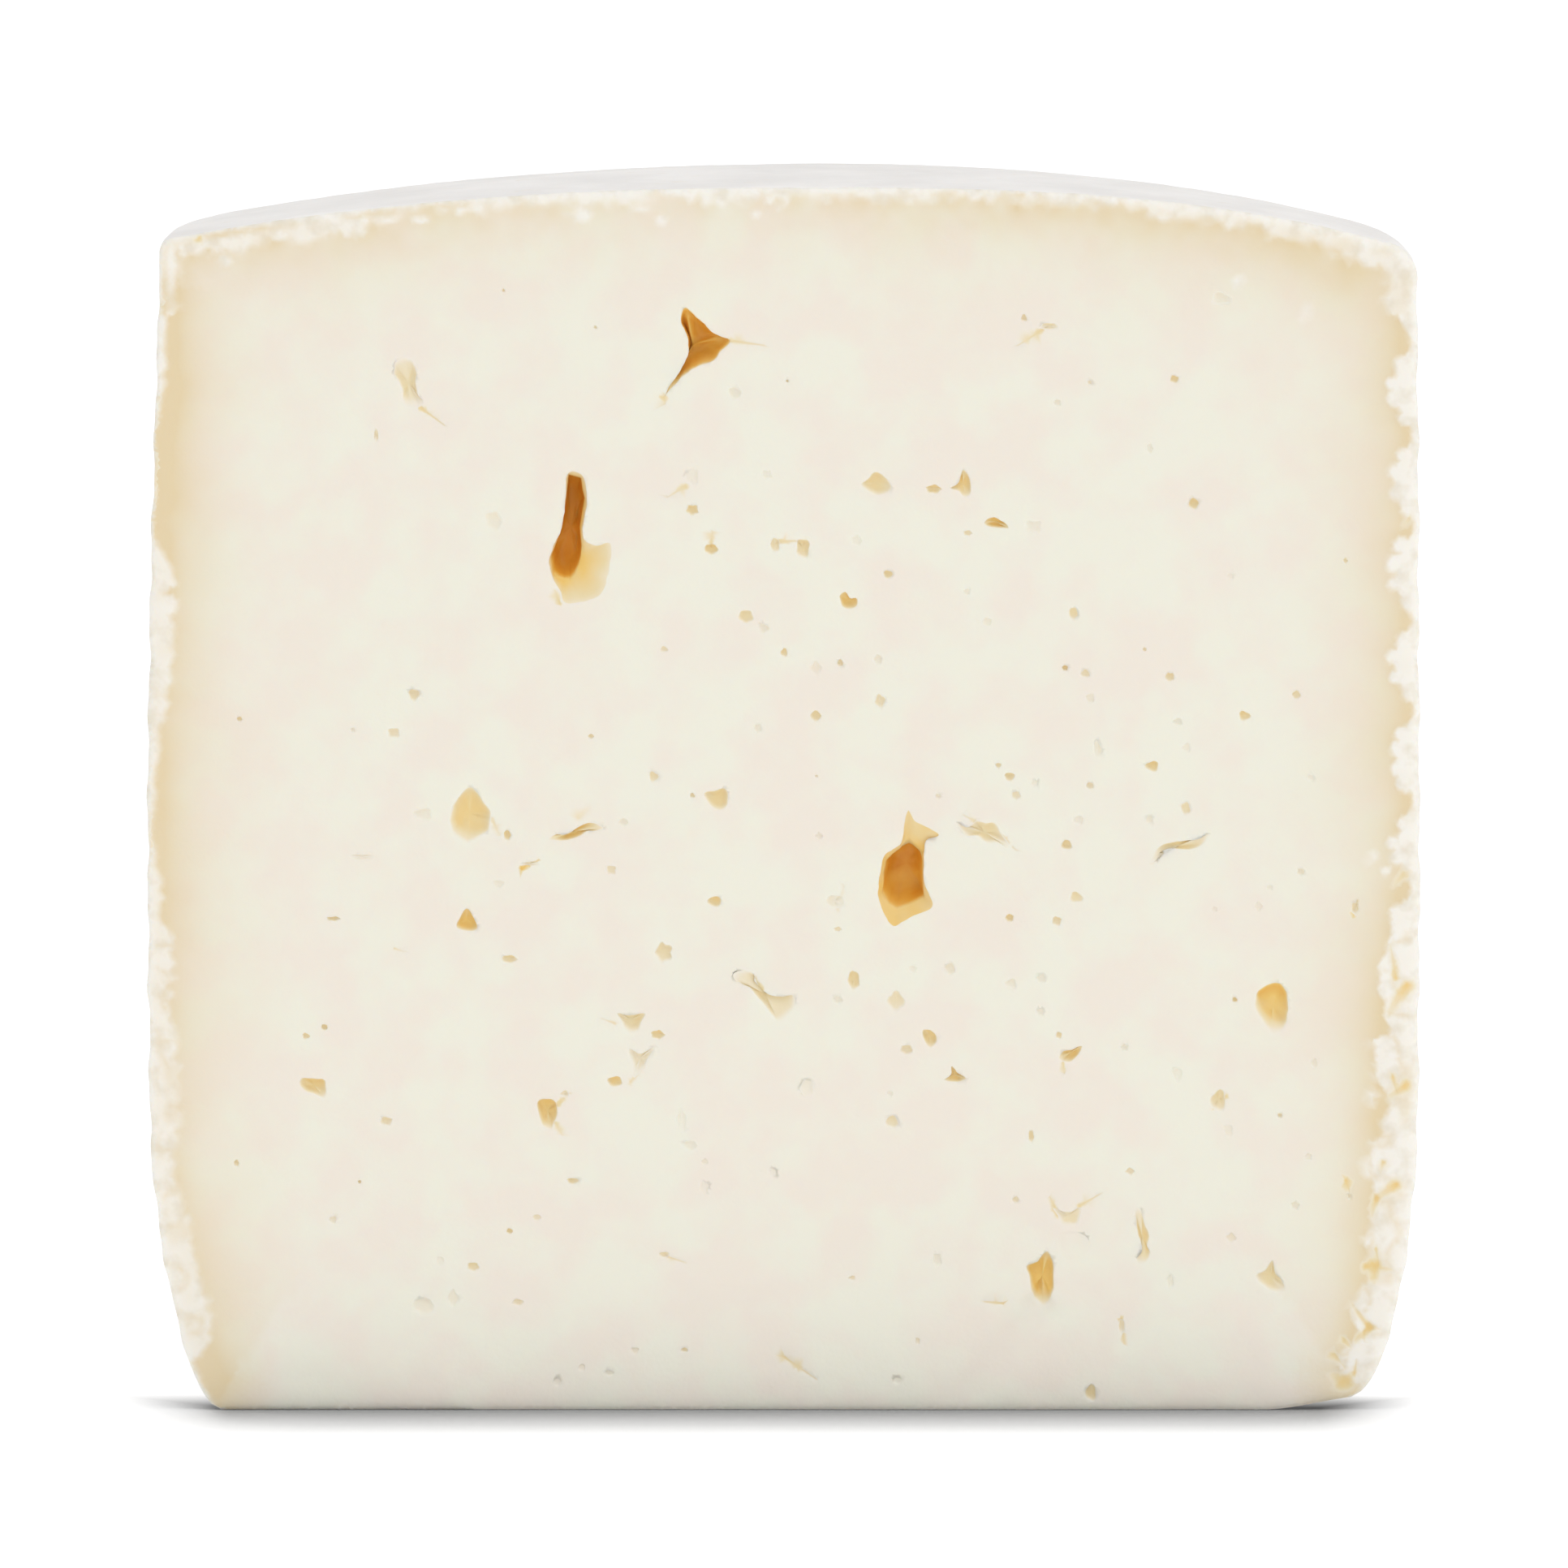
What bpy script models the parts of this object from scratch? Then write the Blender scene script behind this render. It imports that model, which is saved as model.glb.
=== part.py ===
"""Half of a small drum of ripened goat's cheese, standing on its base with the cut side facing -Y.

The drum was drained in a plaited basket, so its side has shallow rows of scallops. Its top is slightly
domed, its foot tapers in, and the cut shows the gaps that were left between the curd grains.
"""

import math

import bmesh
import bpy

MM = 0.001

# The whole drum, in millimetres. Pairs are for the right end of the cut and the left end of it.
# The crown falls further towards the back.
DRUM_RADIUS = 63.0
CROWN_HEIGHT = 121.8
CROWN_RISE = (6.4, 5.5)
CROWN_FALL = 2.5
CROWN_POWER = (3.0, 2.3)
SHOULDER_RADIUS = (3.8, 1.6)
WALL_LEAN = (0.3, 0.85)
WIDEST_HEIGHT = 50.0
FOOT_HEIGHT = 30.0
FOOT_INSET = 6.4
FOOT_POWER = 1.8

# The basket's rows: soft ridges one pitch apart, sunk in between, and fading out at the shoulder.
ROW_PITCH = 9.1
FIRST_RIDGE = 6.2
ROW_DEPTH = 0.35
ROW_FADE = 7.0
ROWS = 12
ROW_STEPS = 4
LAST_ROW_HEIGHT = 108.0

# The drum isn't quite round: two slow waves run across its side.
SWELL = 0.5

# How finely the solid is faceted.
TURN_STEPS = 40
SHOULDER_STEPS = 5
CROWN_STEPS = 7

# Each gap in the paste narrows from its mouth to its floor, which lies a little higher than the mouth.
MOUTH_OUT = 1.5
WALL_STAGES = ((0.0, 1.0), (0.45, 0.86), (0.8, 0.66), (1.0, 0.38))
ROOF_SHARE = 0.22

PASTE_COLOUR = (0.855, 0.800, 0.670, 1.0)


def cornered(width, height, corners=3, pinch=0.25, turn=90.0, points=12):
    """A closed outline with rounded corners and hollow sides, like a gap between round grains."""
    ring = []
    for step in range(points):
        angle = 2 * math.pi * step / points
        reach = 1 + pinch * math.cos(corners * (angle - math.radians(turn)))
        ring.append((reach * math.cos(angle), reach * math.sin(angle)))
    wide = max(x for x, _ in ring) - min(x for x, _ in ring)
    tall = max(z for _, z in ring) - min(z for _, z in ring)
    return [(x * width / wide, z * height / tall) for x, z in ring]


def slit(length, thickness, tilt, bow=0.0, points=5):
    """A thin closed outline along a bowed line, like a crack."""
    upper, lower = [], []
    for step in range(points):
        along = 2 * step / (points - 1) - 1
        half = thickness / 2 * (1 - 0.8 * along * along)
        middle = bow * (1 - along * along)
        upper.append((along * length / 2, middle + half))
        lower.append((along * length / 2, middle - half))
    turn = math.radians(tilt)
    ring = lower + upper[::-1]
    return [
        (x * math.cos(turn) - z * math.sin(turn), x * math.sin(turn) + z * math.cos(turn))
        for x, z in ring
    ]


# Outlines of the three gaps with a form of their own, from their middles.
SPLIT = [
    (0.2, 5.4), (1.4, 5.1), (1.7, 2.8), (1.0, 0.0), (1.4, -1.7), (1.2, -3.5),
    (0.5, -5.3), (-1.4, -4.8), (-1.8, -2.9), (-0.6, 0.1), (-0.2, 3.1),
]
SPUR = [
    (-1.4, 4.0), (0.2, 2.7), (1.4, 1.5), (3.0, 0.7), (2.1, -0.5), (1.3, -1.3), (-0.4, -2.0),
    (-1.8, -3.1), (-3.2, -4.7), (-2.1, -2.6), (-1.1, -0.6), (-1.2, 1.2), (-1.8, 2.7),
]
FLASK = [
    (0.3, 6.6), (1.0, 5.5), (3.4, 4.1), (1.9, 3.2), (1.8, -0.2), (2.6, -3.2), (0.6, -4.1),
    (-1.0, -5.0), (-1.9, -4.0), (-2.6, -2.1), (-2.1, 1.9), (-0.5, 3.0), (0.0, 4.8),
]

# Every gap wide enough to see from a step away: its middle on the cut (across, up), outline and depth.
GAPS = {
    "split": (-21.3, 87.9, SPLIT, 5.0),
    "split_scoop": (-18.9, 83.4, cornered(4.4, 6.2, corners=2, pinch=0.1), 2.0),
    "spur": (-8.3, 105.9, SPUR, 4.2),
    "flask": (12.0, 53.3, FLASK, 4.8),
    "drop": (-30.8, 59.2, cornered(4.3, 5.6, corners=1, pinch=0.25, turn=-90), 1.2),
    "egg": (48.0, 40.0, cornered(3.5, 5.4, corners=1, pinch=0.2), 2.2),
    "cleft": (25.5, 13.1, cornered(3.0, 5.6, corners=3, pinch=0.2, turn=60), 3.0),
    "cleft_top": (28.0, 19.6, cornered(2.7, 2.3, corners=4, pinch=0.18, turn=45), 1.8),
    "cleft_shelf": (28.4, 16.2, cornered(4.2, 4.6, corners=4, pinch=0.1, turn=45), 0.5),
    "fissure": (35.4, 17.3, slit(6.0, 1.2, 98.0, bow=-0.2), 2.6),
    "finger": (-36.9, 102.3, slit(5.6, 2.0, 105.0, bow=0.3), 0.9),
    "lip": (-20.6, 57.6, slit(5.9, 1.0, 14.0, bow=0.2), 1.7),
    "wedge": (-0.7, 40.4, cornered(3.4, 3.2, corners=3, pinch=0.22, turn=-80), 1.3),
    "wedge_side": (-4.0, 43.2, cornered(2.1, 1.8, corners=3, pinch=0.2, turn=150), 1.3),
    "notch": (-15.2, 38.7, cornered(2.5, 2.4, corners=3, pinch=0.25, turn=-90), 1.3),
    "notch_low": (-14.2, 34.8, cornered(2.2, 3.6, corners=3, pinch=0.25, turn=120), 0.9),
    "tooth": (-23.5, 29.7, cornered(2.2, 3.0, corners=4, pinch=0.18, turn=45), 2.4),
    "gable": (20.2, 57.5, cornered(4.0, 3.2, corners=3, pinch=0.25), 1.1),
    "pit": (-46.4, 32.2, cornered(2.6, 2.1, corners=4, pinch=0.1, turn=45), 1.8),
    "tent": (-31.4, 48.9, cornered(1.9, 2.6, corners=3, pinch=0.25), 2.0),
    "roof": (9.2, 92.4, cornered(3.6, 2.4, corners=3, pinch=0.25), 1.3),
    "peak": (17.6, 92.5, cornered(2.4, 2.8, corners=3, pinch=0.25, turn=80), 1.5),
    "brow": (20.8, 88.4, slit(2.4, 1.0, -18.0, bow=0.1), 1.6),
    "chip": (6.3, 80.7, cornered(1.7, 1.8, corners=3, pinch=0.25, turn=120), 1.8),
    "wing": (28.4, 35.7, slit(2.6, 1.4, 28.0), 1.6),
    "fin": (16.8, 33.4, cornered(2.2, 1.8, corners=3, pinch=0.28, turn=100), 1.6),
    "molar": (-6.6, 60.9, cornered(2.3, 2.3, corners=4, pinch=0.12, turn=45), 1.3),
    "flag": (48.0, 13.3, cornered(2.6, 3.0, corners=3, pinch=0.3, turn=80), 1.0),
    "bean": (14.4, 37.3, cornered(1.4, 1.8, corners=3, pinch=0.15, turn=100), 1.5),
    "arch": (-11.8, 45.7, cornered(1.8, 2.1, corners=3, pinch=0.15), 1.2),
}


def clear_scene():
    for obj in list(bpy.data.objects):
        bpy.data.objects.remove(obj, do_unlink=True)


def between(pair, side):
    """A size that changes round the drum, from its right end (side 1) to its left end (side -1)."""
    return pair[0] * (1 + side) / 2 + pair[1] * (1 - side) / 2


def wall_radius(height, side):
    """The drum's radius at a height, without its rows: a nearly straight wall on a tapered foot."""
    lean = between(WALL_LEAN, side)
    wall = DRUM_RADIUS - lean * ((height - WIDEST_HEIGHT) / WIDEST_HEIGHT) ** 2
    risen = min(height / FOOT_HEIGHT, 1.0)
    filled = (1 - (1 - risen) ** FOOT_POWER) ** (1 / FOOT_POWER)
    return wall - FOOT_INSET * (1 - filled)


def crown_rise(side):
    return between(CROWN_RISE, side) + CROWN_FALL * (1 - side * side)


def crown_height(radius, side):
    return CROWN_HEIGHT - crown_rise(side) * (radius / DRUM_RADIUS) ** between(CROWN_POWER, side)


def row_relief(height):
    """How far the basket pressed the side in at a height: soft ridges with a hollow between each two."""
    rows_top = FIRST_RIDGE + ROWS * ROW_PITCH
    fade = max(min(height, rows_top - height, ROW_FADE), 0.0) / ROW_FADE
    return ROW_DEPTH * fade * (1 - math.cos(2 * math.pi * (height - FIRST_RIDGE) / ROW_PITCH)) / 2


def side_profile(side):
    """(radius, height) from the base's edge up the side, round the shoulder and over the crown."""
    rise = crown_rise(side)
    corner = between(SHOULDER_RADIUS, side)
    arc_end = math.pi / 2 - math.atan(between(CROWN_POWER, side) * rise / DRUM_RADIUS)
    arc_radius = wall_radius(CROWN_HEIGHT - rise - corner, side) - corner
    arc_top = arc_radius + corner * math.cos(arc_end)
    arc_height = crown_height(arc_top, side) - corner * math.sin(arc_end)

    heights = [0.0, 0.4 * FIRST_RIDGE]
    heights += [FIRST_RIDGE + step * ROW_PITCH / ROW_STEPS for step in range(ROWS * ROW_STEPS)]
    points = [(wall_radius(h, side) - row_relief(h), h) for h in heights if h < LAST_ROW_HEIGHT]
    for step in range(SHOULDER_STEPS + 1):
        angle = arc_end * step / SHOULDER_STEPS
        points.append((arc_radius + corner * math.cos(angle), arc_height + corner * math.sin(angle)))
    for step in range(1, CROWN_STEPS):
        radius = arc_top * (1 - step / CROWN_STEPS)
        points.append((radius, crown_height(radius, side)))
    return points


def drum_point(radius, height, turn):
    """A point of the drum's skin in metres, turned from the cut's right edge round the back to its left."""
    wave = math.sin(2 * turn + 0.4) * math.sin(height / 37) + 0.6 * math.sin(3 * turn)
    radius += SWELL * wave * math.sin(turn) * radius / DRUM_RADIUS
    return (radius * math.cos(turn) * MM, radius * math.sin(turn) * MM, height * MM)


def make_drum(material):
    """The half drum without its gaps: a turned side and crown, closed by the flat cut and the flat base."""
    grid = bmesh.new()
    columns = []
    for step in range(TURN_STEPS + 1):
        turn = math.pi * step / TURN_STEPS
        profile = side_profile(math.cos(turn))
        columns.append([grid.verts.new(drum_point(r, h, turn)) for r, h in profile])
    apex = grid.verts.new((0.0, 0.0, CROWN_HEIGHT * MM))
    for left, right in zip(columns, columns[1:]):
        for low in range(len(left) - 1):
            grid.faces.new((left[low], right[low], right[low + 1], left[low + 1]))
        grid.faces.new((left[-1], right[-1], apex))
    for vertex in columns[0] + columns[-1]:
        vertex.co.y = 0.0
    grid.faces.new(columns[0] + [apex] + columns[-1][::-1])
    grid.faces.new([column[0] for column in columns])
    bmesh.ops.recalc_face_normals(grid, faces=grid.faces)
    return finish_mesh("cheese", grid, material)


def make_gap(name, across, up, outline, depth, material):
    """One cutter: the outline drawn into the cheese, narrowing on the way to a floor set a little higher."""
    tall = max(z for _, z in outline) - min(z for _, z in outline)
    grid = bmesh.new()
    rings = []
    for share, size in ((-MOUTH_OUT / depth, 1.0),) + WALL_STAGES:
        rise = ROOF_SHARE * tall * max(share, 0.0)
        rings.append([
            grid.verts.new(((across + x * size) * MM, share * depth * MM, (up + z * size + rise) * MM))
            for x, z in outline
        ])
    for front, back in zip(rings, rings[1:]):
        for index in range(len(outline)):
            after = (index + 1) % len(outline)
            grid.faces.new((front[index], front[after], back[after], back[index]))
    grid.faces.new(rings[0])
    grid.faces.new(rings[-1])
    bmesh.ops.recalc_face_normals(grid, faces=grid.faces)
    cutter = finish_mesh("gap_" + name, grid, material)
    cutter.hide_render = True
    cutter.display_type = "WIRE"
    return cutter


def finish_mesh(name, grid, material):
    mesh = bpy.data.meshes.new(name)
    grid.to_mesh(mesh)
    grid.free()
    mesh.materials.append(material)
    obj = bpy.data.objects.new(name, mesh)
    bpy.context.scene.collection.objects.link(obj)
    return obj


def paste_material():
    material = bpy.data.materials.new("goat_cheese_paste")
    material.use_nodes = True
    shader = material.node_tree.nodes["Principled BSDF"]
    shader.inputs["Base Color"].default_value = PASTE_COLOUR
    shader.inputs["Roughness"].default_value = 0.55
    shader.inputs["Metallic"].default_value = 0.0
    return material


def cut_gaps(cheese, material):
    """Takes every gap out of the cut with one Boolean."""
    cutters = bpy.data.collections.new("gaps")
    bpy.context.scene.collection.children.link(cutters)
    for name, (across, up, outline, depth) in GAPS.items():
        cutter = make_gap(name, across, up, outline, depth, material)
        bpy.context.scene.collection.objects.unlink(cutter)
        cutters.objects.link(cutter)
    cutters.hide_render = True
    cut = cheese.modifiers.new("gaps", "BOOLEAN")
    cut.operation = "DIFFERENCE"
    cut.operand_type = "COLLECTION"
    cut.collection = cutters
    cut.solver = "EXACT"


def centre_over_origin(cheese, cutters):
    """Puts the middle of the piece's box over the origin, with the base at height zero."""
    depth = max(vertex.co.y for vertex in cheese.data.vertices)
    across = [vertex.co.x for vertex in cheese.data.vertices]
    shift = (-(max(across) + min(across)) / 2, -depth / 2, 0.0)
    cheese.location = shift
    for cutter in cutters:
        cutter.location = shift


def main():
    clear_scene()
    material = paste_material()
    cheese = make_drum(material)
    cut_gaps(cheese, material)
    centre_over_origin(cheese, bpy.data.collections["gaps"].objects)
    cheese.data.shade_smooth()
    cheese.data.set_sharp_from_angle(angle=math.radians(35))


main()
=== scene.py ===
import math

import bpy
import numpy as np
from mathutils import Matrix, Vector
from mathutils.geometry import delaunay_2d_cdt


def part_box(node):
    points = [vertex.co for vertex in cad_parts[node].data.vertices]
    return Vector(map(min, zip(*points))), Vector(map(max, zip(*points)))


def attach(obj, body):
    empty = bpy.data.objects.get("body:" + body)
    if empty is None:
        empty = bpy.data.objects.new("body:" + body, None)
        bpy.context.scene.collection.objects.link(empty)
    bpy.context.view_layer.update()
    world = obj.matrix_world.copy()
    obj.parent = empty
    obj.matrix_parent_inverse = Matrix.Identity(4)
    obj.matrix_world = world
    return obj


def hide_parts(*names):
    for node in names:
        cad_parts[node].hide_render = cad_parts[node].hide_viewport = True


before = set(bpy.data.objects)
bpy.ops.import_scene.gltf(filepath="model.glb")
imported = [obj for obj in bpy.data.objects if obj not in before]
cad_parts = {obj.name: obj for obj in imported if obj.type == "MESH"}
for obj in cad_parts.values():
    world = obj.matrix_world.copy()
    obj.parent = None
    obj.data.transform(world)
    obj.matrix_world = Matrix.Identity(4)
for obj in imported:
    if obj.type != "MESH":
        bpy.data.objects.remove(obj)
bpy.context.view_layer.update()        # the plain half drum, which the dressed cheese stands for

mm = 0.001
solidLow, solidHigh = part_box("cheese")
cutMiddle = ((solidLow.x + solidHigh.x) / 2, solidLow.y)      # where the drum's axis meets the cut
dice = np.random.default_rng(11)
print("frame: the plain solid is in place")

# What the photograph fixes. Its frame is 1932 pixels square, and pixel places below are in that frame.
photo = {
    "pixels": 1932,
    "pixelsPerMm": 12.5,       # across the cut
    "axisColumn": 965.5,       # the pixel column of the drum's axis
    "floorRow": 1740,          # the pixel row where the cut meets the floor
    "elevation": 8.0,          # degrees above the level
    "distance": 3.0,           # metres, a long lens
}
pixelsPerMmUp = photo["pixelsPerMm"] * math.cos(math.radians(photo["elevation"]))


def onCut(pixels):       # places in the photograph as millimetres across and up the cut
    pixels = np.asarray(pixels, float)
    across = (pixels[..., 0] - photo["axisColumn"]) / photo["pixelsPerMm"]
    up = (photo["floorRow"] - pixels[..., 1]) / pixelsPerMmUp
    return np.stack([across, up], -1)


# The camera
def makeCamera():
    half = photo["pixels"] / 2
    across, up = onCut((half, half))
    aim = Vector((cutMiddle[0] + across * mm, cutMiddle[1], up * mm))
    tilt = math.radians(photo["elevation"])
    lens = bpy.data.cameras.new("longLens")
    lens.sensor_width = 36.0
    widthSeen = photo["pixels"] / photo["pixelsPerMm"] * mm
    lens.lens = lens.sensor_width * photo["distance"] / widthSeen
    lens.clip_start = 0.1
    lens.clip_end = 60.0
    camera = bpy.data.objects.new("camera", lens)
    camera.location = aim + Vector((0, -math.cos(tilt), math.sin(tilt))) * photo["distance"]
    camera.rotation_euler = (math.pi / 2 - tilt, 0, 0)
    bpy.context.scene.collection.objects.link(camera)
    bpy.context.scene.camera = camera
    print("camera: lens of", round(lens.lens), "mm at", photo["distance"], "m")


makeCamera()


# Colours and nodes
def fromHex(code):       # an sRGB hex colour as linear red, green, blue, alpha
    shares = [int(code[i:i + 2], 16) / 255 for i in (1, 3, 5)]
    return [s / 12.92 if s <= 0.04045 else ((s + 0.055) / 1.055) ** 2.4 for s in shares] + [1.0]


def addNode(tree, kind, settings=None, links=None):
    node = tree.nodes.new(kind)
    for name, value in (settings or {}).items():
        if name == "stops":
            ramp = node.color_ramp.elements
            while len(ramp) < len(value):
                ramp.new(0.5)
            for stop, (place, colour) in zip(ramp, value):
                stop.position = place
                stop.color = fromHex(colour)
        elif isinstance(name, int) or name in node.inputs:
            node.inputs[name].default_value = value
        else:
            setattr(node, name, value)
    for name, source in (links or {}).items():
        tree.links.new(source, node.inputs[name])
    return node


def blankMaterial(name):
    material = bpy.data.materials.new(name)
    material.use_nodes = True
    tree = material.node_tree
    tree.nodes.clear()
    return material, tree, addNode(tree, "ShaderNodeTexCoord").outputs["Object"]


def noise(tree, place, grain, detail, more=None):       # the grain is in mm
    settings = {"Scale": 1 / (grain * mm), "Detail": detail, **(more or {})}
    return addNode(tree, "ShaderNodeTexNoise", settings, {"Vector": place}).outputs[0]


def ranged(tree, source, low, high=1.0, least=0.0, most=1.0):
    settings = {"From Min": low, "From Max": high, "To Min": least, "To Max": most}
    return addNode(tree, "ShaderNodeMapRange", settings, {0: source}).outputs[0]


def blend(tree, share, first, second):       # each of the two is a hex colour or a node's output
    settings = {"data_type": "RGBA"}
    links = {0: share}
    for slot, colour in ((6, first), (7, second)):
        if isinstance(colour, str):
            settings[slot] = fromHex(colour)
        else:
            links[slot] = colour
    return addNode(tree, "ShaderNodeMix", settings, links).outputs[2]


def maths(tree, operation, first, second=0.0):       # the second is a number or a node's output
    settings = {"operation": operation}
    links = {0: first}
    if isinstance(second, float):
        settings[1] = second
    else:
        links[1] = second
    return addNode(tree, "ShaderNodeMath", settings, links).outputs[0]


def finishMaterial(tree, look, colour, height):       # the shader and fine relief that paste and rind share
    strength, deep = look["bump"]
    bump = addNode(tree, "ShaderNodeBump", {"Strength": strength, "Distance": deep * mm}, {"Height": height})
    shader = addNode(tree, "ShaderNodeBsdfPrincipled", {
        "Roughness": look["roughness"], "IOR": look["ior"], "Subsurface Weight": look["glow"],
        "Subsurface Radius": look["glowReach"], "Subsurface Scale": look["glowScale"] * mm,
        "Sheen Weight": look["sheen"], "Sheen Roughness": look["sheenRoughness"]},
        {"Base Color": colour, "Normal": bump.outputs[0]})
    addNode(tree, "ShaderNodeOutputMaterial", None, {"Surface": shader.outputs[0]})


# The drum's skin
# The sizes of the plain solid, in millimetres. A pair is for the right end of the cut and the left end.
drum = {
    "radius": 63.0, "crownHeight": 121.8, "crownRise": (6.4, 5.5), "crownFall": 2.5,
    "crownPower": (3.0, 2.3), "shoulderRadius": (3.8, 1.6), "wallLean": (0.3, 0.85), "widestHeight": 50.0,
    "footHeight": 30.0, "footInset": 6.4, "footPower": 1.8, "swell": 0.5,
    "curlStart": 47.5, "curlRun": 10.5, "curlHeight": 14.0, "curlLift": 1.35,
    "turnSteps": 300, "wallSteps": 185, "shoulderSteps": 12, "firstTurn": 1.2, "edgeStep": 0.6,
    "flatEdge": 3.0,       # the foot's lowest part keeps its height, so that it stands on the base
}
# The basket's marks: thick rods every row, thin strands between them, and upright ribs that they pass.
basket = {
    "rowPitch": 9.1, "firstRidge": 6.2, "rowDepth": 0.2, "rowFade": 7.0, "rows": 12,
    "strandPitch": 1.95, "strandDepth": 0.1, "ribSpacing": 8.2,
    "rowShow": 0.75, "strandShow": 0.25,       # how much cream shows in the hollows
}
# The felt of mould lies this far in, with lumps of three grains.
mould = {"dip": 0.15, "lumps": [(0.07, 14.0, 1), (0.035, 4.5, 2), (0.035, 1.5, 3)]}
lattice = dice.random((64, 64, 64)) * 2 - 1
noiseStart, noiseShift = 500.0, 17.3       # cells: the first keeps cell numbers above zero


def softNoise(places, grain, shift=0.0):       # smooth unevenness from -1 to 1, in lumps one grain across
    cell = np.asarray(places, float) / grain + noiseStart + noiseShift * shift
    low = np.floor(cell).astype(int)
    part = cell - low
    part = part * part * (3 - 2 * part)
    total = np.zeros(cell.shape[:-1])
    for corner in np.ndindex(2, 2, 2):
        weight = np.prod(np.where(np.array(corner) == 1, part, 1 - part), -1)
        i, j, k = np.moveaxis((low + corner) % 64, -1, 0)
        total += weight * lattice[i, j, k]
    return total


def layered(places, layers):       # soft noise of several grains: the amount, grain and shift of each
    return sum(amount * softNoise(places, grain, shift) for amount, grain, shift in layers)


def between(pair, side):
    return pair[0] * (1 + side) / 2 + pair[1] * (1 - side) / 2


def wallRadius(height, side):
    reach = (height - drum["widestHeight"]) / drum["widestHeight"]
    wall = drum["radius"] - between(drum["wallLean"], side) * reach ** 2
    risen = np.minimum(height / drum["footHeight"], 1.0)
    filled = (1 - (1 - risen) ** drum["footPower"]) ** (1 / drum["footPower"])
    return wall - drum["footInset"] * (1 - filled)


def crownRise(side):
    return between(drum["crownRise"], side) + drum["crownFall"] * (1 - side * side)


def crownHeight(radius, side):
    share = radius / drum["radius"]
    return drum["crownHeight"] - crownRise(side) * share ** between(drum["crownPower"], side)


def rowRelief(height):
    rowsTop = basket["firstRidge"] + basket["rows"] * basket["rowPitch"]
    fade = np.clip(np.minimum(height, rowsTop - height) / basket["rowFade"], 0, 1)
    wave = (1 - np.cos(2 * math.pi * (height - basket["firstRidge"]) / basket["rowPitch"])) / 2
    return basket["rowDepth"] * fade * wave, fade


def shoulder(side):       # the arc between wall and crown: its middle, its radius and where it ends
    rise = crownRise(side)
    corner = between(drum["shoulderRadius"], side)
    arcEnd = math.pi / 2 - np.arctan(between(drum["crownPower"], side) * rise / drum["radius"])
    arcRadius = wallRadius(drum["crownHeight"] - rise - corner, side) - corner
    arcTop = arcRadius + corner * np.cos(arcEnd)
    arcHeight = crownHeight(arcTop, side) - corner * np.sin(arcEnd)
    return arcRadius, arcHeight, corner, arcEnd, arcTop


def footLift(places):       # the underside curls up a little towards the cut's right corner
    share = np.clip((places[:, 0] - drum["curlStart"]) / drum["curlRun"], 0, 1)
    low = np.clip(1 - places[:, 2] / drum["curlHeight"], 0, 1)
    return drum["curlLift"] * share * share * (3 - 2 * share) * low * low


def inSpace(radius, height, turn):       # as the plain solid is swelled
    wave = np.sin(2 * turn + 0.4) * np.sin(height / 37) + 0.6 * np.sin(3 * turn)
    radius = radius + drum["swell"] * wave * np.sin(turn) * radius / drum["radius"]
    return np.stack([radius * np.cos(turn), radius * np.sin(turn), height], -1)


def mouldLumps(places):       # how far the felt of mould dips, from 0 to about 0.3 mm
    return mould["dip"] + layered(places, mould["lumps"])


# The mesh is gathered here, in millimetres from the axis on the cut. Its marks are how much rind and tan a
# point shows, and pit, which on the cut is the painted shade in a gap or crack, and on the skin is how
# hollow the basket left it.
gathered = {"points": [], "rind": [], "tan": [], "pit": [], "faces": [], "skins": [], "count": 0}


def addPoints(places, rind=0.0, tan=0.0, pit=0.0):
    first = gathered["count"]
    gathered["points"].append(np.asarray(places, float))
    for name, value in (("rind", rind), ("tan", tan), ("pit", pit)):
        gathered[name].append(np.broadcast_to(np.asarray(value, float), (len(places),)))
    gathered["count"] += len(places)
    return np.arange(first, gathered["count"])


def addFaces(faces, skin):       # skin is 1 for the rind's material and 0 for the paste's
    gathered["faces"] += faces.tolist()
    gathered["skins"] += [skin] * len(faces)


def placesOf(numbers):
    return np.concatenate(gathered["points"])[numbers]


def fillPatch(loops, inner, flat):
    # Triangles over a flat map: loops of point numbers, the first the outer edge, and loose points inside.
    numbers = np.concatenate(loops + [inner])
    edges = []
    start = 0
    for loop in loops:
        edges += [(start + i, start + (i + 1) % len(loop)) for i in range(len(loop))]
        start += len(loop)
    made = delaunay_2d_cdt([Vector(place) for place in flat], edges, [], 1, 1e-6, True)
    source = np.array([came[0] if came else -1 for came in made[3]])
    corners = source[np.array(made[2])]
    if corners.min() < 0:
        print("two loops cross on the flat map")
        corners = corners[(corners >= 0).all(1)]
    a, b, c = (flat[corners[:, k]] for k in range(3))
    turned = (b[:, 0] - a[:, 0]) * (c[:, 1] - a[:, 1]) - (b[:, 1] - a[:, 1]) * (c[:, 0] - a[:, 0]) < 0
    corners[turned] = corners[turned][:, ::-1]

    owner = [np.full(len(loop), k) for k, loop in enumerate(loops)]
    owner = np.concatenate(owner + [np.full(len(inner), -1)])
    held = owner[corners]
    within = (held[:, 0] >= 0) & (held[:, 0] == held[:, 1]) & (held[:, 0] == held[:, 2])
    middle = flat[corners].mean(1)
    for k in np.unique(held[within, 0]):       # faces beyond the outer edge, or across an inner loop
        own = np.flatnonzero(within & (held[:, 0] == k))
        within[own] = insideLoop(middle[own], flat[owner == k]) == (k > 0)
    return numbers[corners[~within]]


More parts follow.
